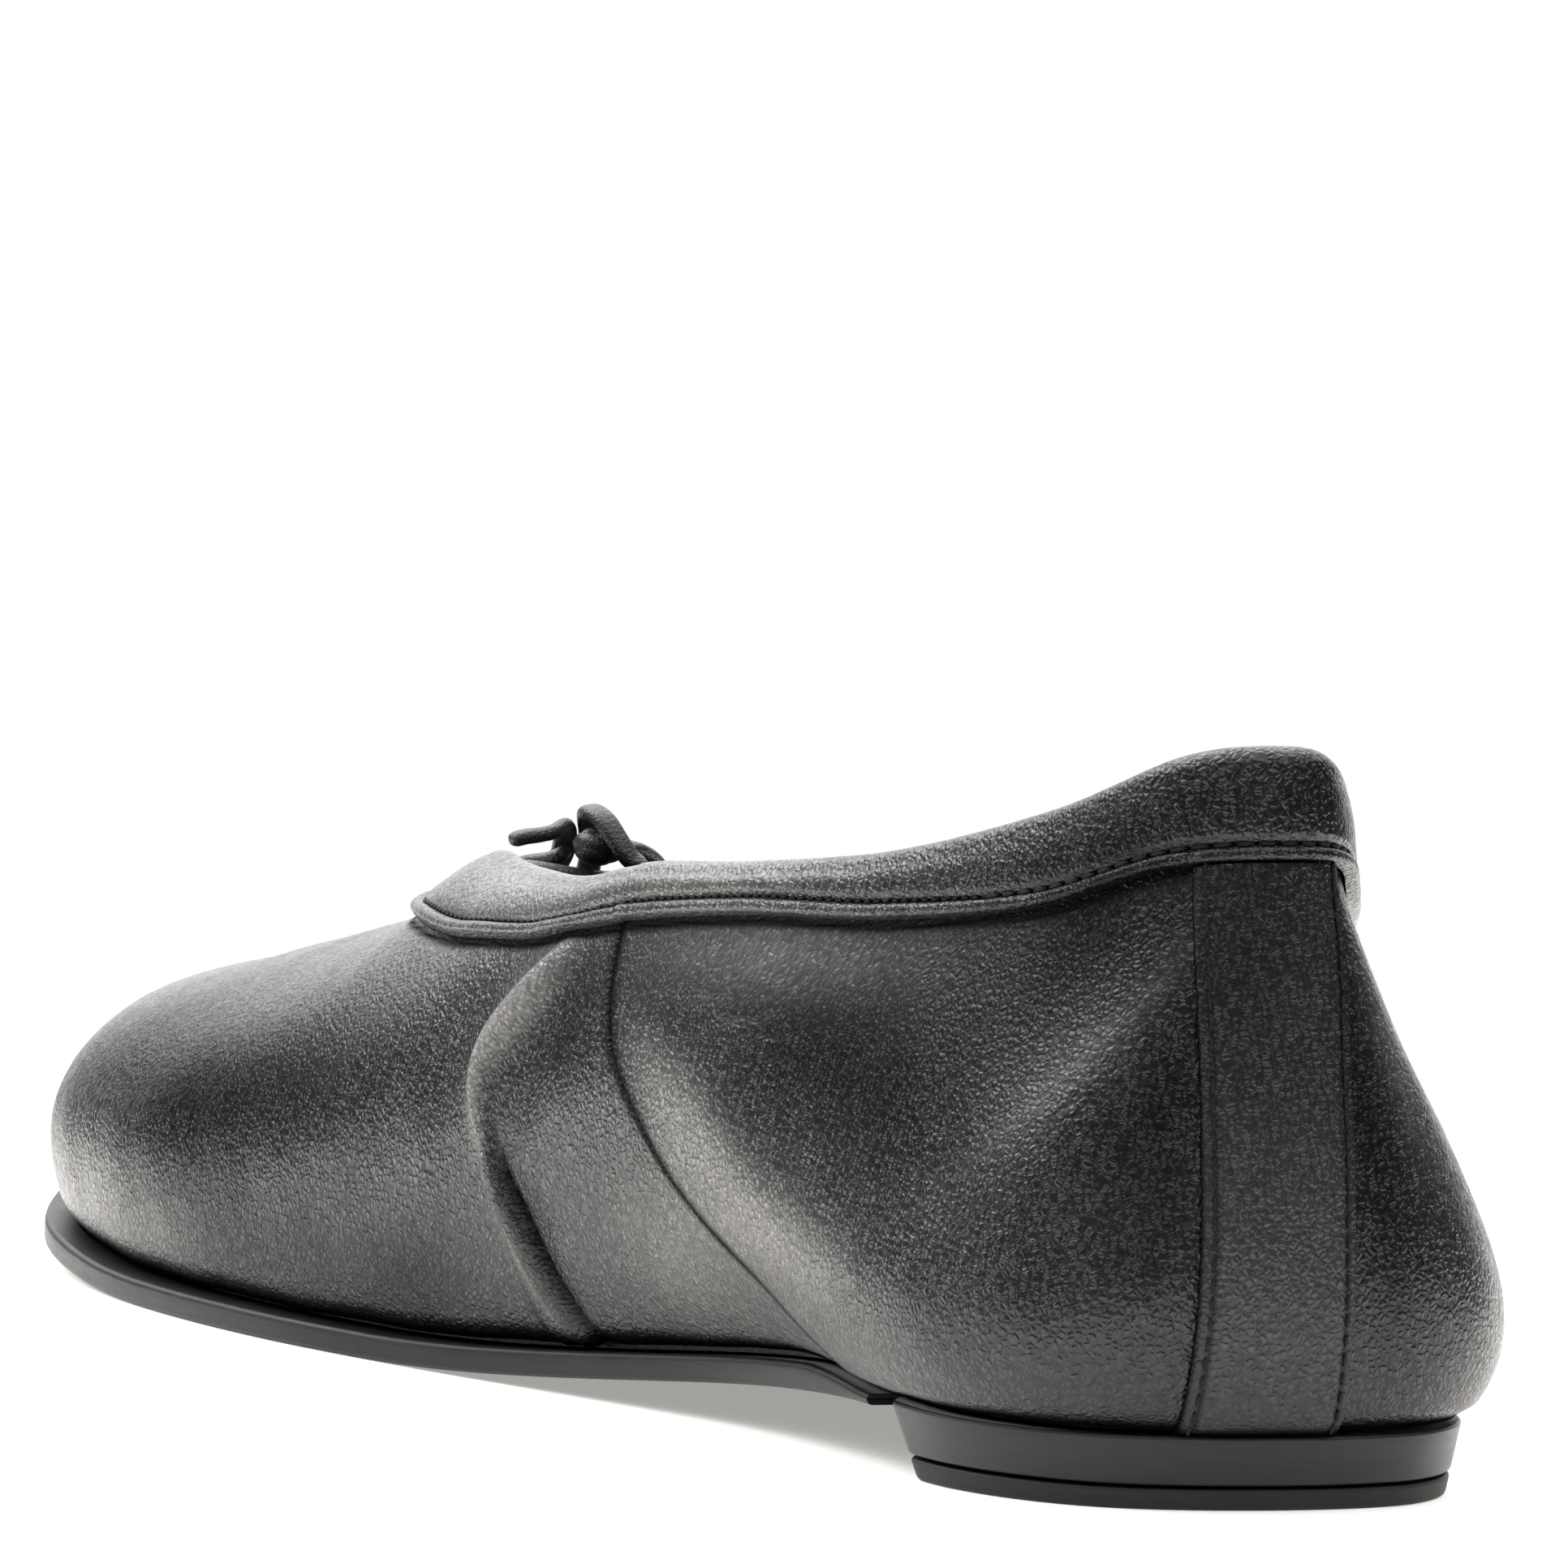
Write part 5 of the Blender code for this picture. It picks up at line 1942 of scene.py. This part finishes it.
@dataclass(frozen=True)
class Bottom:
    """The outsole, heel block, top lift and insole."""

    wall: Wall
    edge: bpy.types.Material
    heel: bpy.types.Material
    lift: bpy.types.Material
    sock: bpy.types.Material
    edge_round: float = 0.0006
    heel_round: float = 0.0004
    insole_thickness: float = 0.0018
    insole_clearance: float = 0.0002
    insole_round: float = 0.0004
    insole_bevel: float = 0.0003
    insole_rim: float = 0.0040
    insole_dip: float = 0.0003
    weld: float = 0.00001
    sharp: float = 40.0
    stations: int = 170

    def sides(self, inset: float, tucked: bool) -> tuple[np.ndarray, np.ndarray]:
        """Return the outline's outer and inner sides, moved in by an inset, from the back to the toe.

        Args:
            inset: The move inwards, in metres.
            tucked: Whether the outline follows the foot of the wall.

        Returns:
            The points of the outer side and of the inner side.
        """
        last = self.wall.last
        at = np.linspace(0.0, STATION_COUNT, 1200, endpoint=False)
        move = inset + (last.column(at, "tuck") * last.feather_inset if tucked else 0.0 * at)
        ring = last.sole_outline(at) - last.plan_normal(last.sole_outline, at) * move[:, None]
        ring = np.roll(ring, -int(np.argmin(ring[:, 1])), axis=0)
        toe = int(np.argmax(ring[:, 1]))
        return ring[: toe + 1], np.concatenate([ring[toe:], ring[:1]])[::-1]

    def ring(
        self,
        inset: float,
        start: float | None = None,
        end: float | None = None,
        corner: float = 0.0,
        tucked: bool = False,
    ) -> tuple[np.ndarray, np.ndarray, np.ndarray]:
        """Work out one closed ring of the outline.

        Args:
            inset: How far it lies inside the sole's edge.
            start: Where it is cut square at the back, or None.
            end: Where it is cut square at the front, or None.
            corner: The radius of the corners at a square front.
            tucked: Whether it follows the foot of the wall.

        Returns:
            The outer side, the inner side and their distances along the shoe.
        """
        outer, inner = self.sides(inset, tucked)
        low = outer[0, 1] if start is None else start
        high = outer[-1, 1] if end is None else end
        first_turn = 0.0 if start is None else 0.5
        ease = -np.cos(np.pi * np.linspace(first_turn, 1.0, self.stations))
        along = np.interp(ease, (ease[0], ease[-1]), (low, high))
        left = np.interp(along, outer[:, 1], outer[:, 0])
        right = np.interp(along, inner[:, 1], inner[:, 0])
        depth = np.clip(along - (high - corner), 0.0, corner)
        pull = corner - np.sqrt(corner**2 - depth**2)
        return left + pull, right - pull, along

    def plate(self, name: str, levels: list, node: str, material: bpy.types.Material) -> None:
        """Make a plate from rings of the outline.

        Args:
            name: The piece's name.
            levels: Each ring with the function that gives its height along the shoe.
            node: The solid's name in the record.
            material: Its material.
        """
        points = []
        for (left, right, along), height in levels:
            heights = height(along)
            points.extend(np.stack([left, along, heights], axis=1))
            points.extend(np.stack([right, along, heights], axis=1)[::-1])
        size = 2 * self.stations
        faces = ring_faces(len(levels), size, False).tolist()
        for base in (0, (len(levels) - 1) * size):
            for spot in range(self.stations - 1):
                across = size - 1 - spot
                faces.append((base + spot, base + spot + 1, base + across - 1, base + across))
        piece = make_piece(name, self.wall.last.to_frame(np.array(points)), faces)
        shape = bmesh.new()
        shape.from_mesh(piece.data)
        bmesh.ops.remove_doubles(shape, verts=shape.verts, dist=self.weld)
        bmesh.ops.recalc_face_normals(shape, faces=shape.faces)
        shape.to_mesh(piece.data)
        shape.free()
        piece.data.shade_smooth()
        piece.data.set_sharp_from_angle(angle=math.radians(self.sharp))
        dress(piece, material)
        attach(piece, "root")
        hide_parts(node)
        LOG.info("%s: %d faces", name, len(piece.data.polygons))

    def build(self) -> None:
        """Make all four plates."""
        self.build_outsole()
        self.build_heel()
        self.build_insole()

    def build_outsole(self) -> None:
        """Make the outsole with rounded edges."""
        last = self.wall.last
        breast = last.heel_length + last.gap
        levels = []
        for share in np.linspace(0.0, 1.0, 5):
            angle = share * math.pi / 2
            inset = self.edge_round * (1.0 - math.sin(angle))
            rise = self.edge_round * (1.0 - math.cos(angle))
            levels.append((
                self.ring(inset, start=breast), lambda along, rise=rise: last.sole_underside(along) + rise
            ))
        for share in np.linspace(0.0, 1.0, 5):
            angle = share * math.pi / 2
            inset = self.edge_round * (1.0 - math.cos(angle))
            fall = self.edge_round * (1.0 - math.sin(angle))
            levels.append((
                self.ring(inset, start=breast), lambda along, fall=fall: last.seat_height(along) - fall
            ))
        self.plate("outsole_edge", levels, "outsole", self.edge)

    def build_heel(self) -> None:
        """Make the heel block and its top lift."""
        last = self.wall.last
        foot = last.lift_thickness + last.gap
        top = foot + last.block_thickness

        def heel_ring(height: float, extra: float = 0.0) -> tuple:
            """Return the heel's outline at a height.

            Args:
                height: The height, in metres.
                extra: How much further in it lies, in metres.

            Returns:
                The ring of the outline.
            """
            share = 1.0 - height / top
            inset = last.gap + last.heel_taper * share + extra
            end = last.heel_length - last.breast_lean * share - extra
            return self.ring(inset, end=end, corner=last.breast_round)

        def flat(height: float) -> Callable:
            """Return a function that gives one height everywhere."""
            return lambda along: np.full(len(along), height)

        def rounded(low: float, high: float, radius: float) -> list:
            """Return the levels between two heights, with rounded edges.

            Args:
                low: The lower height, in metres.
                high: The upper height, in metres.
                radius: The radius of the edges, in metres.

            Returns:
                Each ring with the function that gives its height.
            """
            steps = np.linspace(0.0, math.pi / 2, 4)
            rows = [(low + radius * (1 - math.cos(s)), radius * (1 - math.sin(s))) for s in steps]
            rows += [(high - radius * (1 - math.sin(s)), radius * (1 - math.cos(s))) for s in steps]
            return [(heel_ring(height, extra), flat(height)) for height, extra in rows]

        block = rounded(foot, top, self.heel_round)
        self.plate("heel_block_edge", block, "heel_block", self.heel)
        lift = rounded(0.0, last.lift_thickness, self.heel_round)
        self.plate("top_lift_edge", lift, "top_lift", self.lift)

    def build_insole(self) -> None:
        """Make the insole with a slightly raised rim where it meets the wall."""
        last = self.wall.last
        inset = self.wall.wall + self.insole_clearance
        low = last.gap
        high = last.gap + self.insole_thickness
        rows = (
            (inset, low, 0.0),
            (inset, high, self.insole_round),
            (inset + self.insole_bevel, high, 0.0),
            (inset + self.insole_rim, high, self.insole_dip),
        )
        levels = [
            (
                self.ring(place, tucked=True),
                lambda along, rise=rise, fall=fall: last.seat_height(along) + rise - fall,
            )
            for place, rise, fall in rows
        ]
        self.plate("insole_sock", levels, "insole", self.sock)


@dataclass(frozen=True)
class Studio:
    """The floor, the soft lights and the sky of the studio."""

    floor_reach: float = 0.30
    floor_middle: tuple[float, float] = (-0.05, 0.11)
    floor_corners: int = 64
    key_power: float = 7.0
    key_size: float = 0.9
    key_place: tuple[float, float, float] = (-0.5, 0.9, 1.15)
    key_target: tuple[float, float, float] = (0.0, 0.12, 0.03)
    far: tuple[float, float, float] = (0.402, 0.916, 0.0)
    front: tuple[float, float, float] = (-0.11, 0.99, 0.0)
    flag: tuple[float, float, float] = (0.035, 0.040, 0.055)
    backdrop: tuple[float, float, float] = (1.9, 1.9, 1.9)
    ceiling: tuple[float, float, float] = (2.2, 2.2, 2.25)
    softbox: tuple[float, float, float] = (5.5, 5.5, 5.5)

    def build(self) -> None:
        """Make the floor, the lights and the world."""
        mesh = bpy.data.meshes.new("studio_floor")
        turns = np.linspace(0.0, 2 * math.pi, self.floor_corners, endpoint=False)
        across, along = self.floor_middle
        reach = self.floor_reach
        rim = [(across + reach * math.cos(turn), along + reach * math.sin(turn), 0.0) for turn in turns]
        mesh.from_pydata(rim, [], [tuple(range(self.floor_corners))])
        floor = bpy.data.objects.new("studio_floor", mesh)
        bpy.context.collection.objects.link(floor)
        dress(floor, PaleFloor().material())
        self.light("key_light", self.key_place, self.key_target, self.key_size, self.key_power)
        self.world()
        bpy.context.scene.view_settings.view_transform = "Standard"

    def light(self, name: str, place: tuple, target: tuple, size: float, power: float) -> None:
        """Hang a soft square light.

        Args:
            name: The light's name.
            place: Where it hangs.
            target: Where it points.
            size: The length of its side, in metres.
            power: Its power, in watts.
        """
        data = bpy.data.lights.new(name, "AREA")
        data.shape = "SQUARE"
        data.size = size
        data.energy = power
        lamp = bpy.data.objects.new(name, data)
        lamp.location = place
        lamp.rotation_euler = (Vector(target) - Vector(place)).to_track_quat("-Z", "Y").to_euler()
        bpy.context.collection.objects.link(lamp)

    def world(self) -> None:
        """Make a sky with a soft box ahead and overhead, a pale backdrop and dark flags at the sides."""
        world = bpy.data.worlds.new("studio_world")
        bpy.context.scene.world = world
        world.use_nodes = True
        tree = world.node_tree
        tree.nodes.clear()
        place = tree.nodes.new("ShaderNodeTexCoord").outputs["Generated"]
        ahead = self.share_along(tree, place, self.far)
        upward = self.share_along(tree, place, (0.0, 0.0, 1.0))
        front = self.share_along(tree, place, self.front)
        low = self.blend(tree, self.ramp(tree, ahead, 0.84, 0.97), self.flag, self.backdrop)
        back_half = self.blend(tree, self.ramp(tree, upward, 0.35, 0.80), low, self.ceiling)
        front_low = self.blend(tree, self.ramp(tree, upward, 0.16, 0.36), low, self.backdrop)
        front_half = self.blend(tree, self.ramp(tree, upward, 0.40, 0.66), front_low, self.softbox)
        sky_colour = self.blend(tree, self.ramp(tree, front, 0.0, 0.6), back_half, front_half)
        sky = tree.nodes.new("ShaderNodeBackground")
        tree.links.new(sky_colour, sky.inputs["Color"])
        white = tree.nodes.new("ShaderNodeBackground")
        white.inputs["Color"].default_value = (1.0, 1.0, 1.0, 1.0)
        ray = tree.nodes.new("ShaderNodeLightPath")
        both = tree.nodes.new("ShaderNodeMixShader")
        tree.links.new(ray.outputs["Is Camera Ray"], both.inputs[0])
        tree.links.new(sky.outputs[0], both.inputs[1])
        tree.links.new(white.outputs[0], both.inputs[2])
        output = tree.nodes.new("ShaderNodeOutputWorld")
        tree.links.new(both.outputs[0], output.inputs["Surface"])

    @staticmethod
    def share_along(
        tree: bpy.types.NodeTree, place: bpy.types.NodeSocket, axis: tuple
    ) -> bpy.types.NodeSocket:
        """Return how far the sky's directions point along an axis.

        Args:
            tree: The sky's tree.
            place: The socket of the directions.
            axis: The axis.

        Returns:
            The socket of the share.
        """
        dot = tree.nodes.new("ShaderNodeVectorMath")
        dot.operation = "DOT_PRODUCT"
        tree.links.new(place, dot.inputs[0])
        dot.inputs[1].default_value = axis
        return dot.outputs["Value"]

    @staticmethod
    def ramp(
        tree: bpy.types.NodeTree, value: bpy.types.NodeSocket, low: float, high: float
    ) -> bpy.types.NodeSocket:
        """Ease from 0 to 1 as a value goes from low to high.

        Args:
            tree: The sky's tree.
            value: The socket of the value.
            low: Where the ease starts.
            high: Where it ends.

        Returns:
            The socket of the share.
        """
        node = tree.nodes.new("ShaderNodeMapRange")
        node.interpolation_type = "SMOOTHSTEP"
        tree.links.new(value, node.inputs["Value"])
        node.inputs["From Min"].default_value = low
        node.inputs["From Max"].default_value = high
        return node.outputs["Result"]

    @staticmethod
    def blend(
        tree: bpy.types.NodeTree,
        share: bpy.types.NodeSocket,
        first: tuple | bpy.types.NodeSocket,
        second: tuple | bpy.types.NodeSocket,
    ) -> bpy.types.NodeSocket:
        """Blend two colours or sockets by a share.

        Args:
            tree: The sky's tree.
            share: The socket of the share.
            first: The colour or socket at 0.
            second: The colour or socket at 1.

        Returns:
            The socket of the blend.
        """
        node = tree.nodes.new("ShaderNodeMix")
        node.data_type = "RGBA"
        tree.links.new(share, node.inputs[0])
        for socket, value in ((node.inputs[6], first), (node.inputs[7], second)):
            if isinstance(value, bpy.types.NodeSocket):
                tree.links.new(value, socket)
            else:
                socket.default_value = (*value, 1.0)
        return node.outputs[2]


# The sizes of the stitches on the band, on the band behind the heel and on the strip, in metres.
BAND_STITCH = {"Spacing": 0.00145, "Length": 0.00105, "Thickness": 0.00036}
BACK_STITCH = {"Spacing": 0.0021, "Length": 0.0019, "Thickness": 0.00062}
STRIP_STITCH = {"Spacing": 0.0018, "Length": 0.0013, "Thickness": 0.00042}

# How many stations the coarser stitches behind the heel reach to either side of the back.
BACK_REACH = 2.3


def sew_all(thread: bpy.types.Material, band: CollarBand, strip: BackStrip) -> None:
    """Sew the rows of stitches on the band and the strip.

    Args:
        thread: The thread's material.
        band: The collar band.
        strip: The strip over the back seam.
    """
    stitching = Stitching(thread)
    line, outward, stations = band.groove_line()
    back = np.minimum(stations, STATION_COUNT - stations) < BACK_REACH
    turn = int(np.argmax(stations > STATION_COUNT - BACK_REACH))
    stitching.sew("band_stitches", line[~back], outward[~back], BAND_STITCH)
    line, outward, back = (np.roll(row, -turn, axis=0) for row in (line, outward, back))
    stitching.sew("band_stitches_back", line[back], outward[back], BACK_STITCH)
    for name, sign in (("strip_stitches_outer", 1.0), ("strip_stitches_inner", -1.0)):
        line, outward = strip.stitch_line(sign)
        stitching.sew(name, line, outward, STRIP_STITCH)


def main() -> None:
    """Build the shoe, the camera and the studio in order."""
    logging.basicConfig(level=logging.INFO, format="%(relativeCreated)d ms %(message)s")
    Camera().build()
    wall = Wall()
    grain = GrainLeather("upper_grain").material()
    band_grain = GrainLeather("band_grain", pebble=0.00070).material()
    strip_grain = GrainLeather("strip_grain", pebble=0.00070, gloss=0.32).material()
    lace = SmoothLeather("lace_leather", (0.008, 0.008, 0.009), (0.030, 0.028, 0.027), gloss=0.40).material()
    lining = SmoothLeather("lining_leather", (0.030, 0.027, 0.024), (0.060, 0.055, 0.050)).material()
    sock = SmoothLeather("sock_leather", (0.026, 0.024, 0.022), (0.052, 0.048, 0.044), gloss=0.55).material()
    edge = DyedEdge("sole_edge").material()
    heel = DyedEdge("heel_edge", gloss=0.26, shine=0.33).material()
    lift = DyedEdge(
        "lift_edge", dark=(0.012, 0.012, 0.012), light=(0.024, 0.024, 0.025), gloss=0.42
    ).material()
    thread = Thread("black_thread").material()
    Bow(wall, lace).build()
    Upper(wall, grain, lining).build()
    band = CollarBand(wall, band_grain)
    band.build()
    strip = BackStrip(wall, strip_grain)
    strip.build()
    sew_all(thread, band, strip)
    Bottom(wall, edge, heel, lift, sock).build()
    Studio().build()


if __name__ == "__main__":
    main()
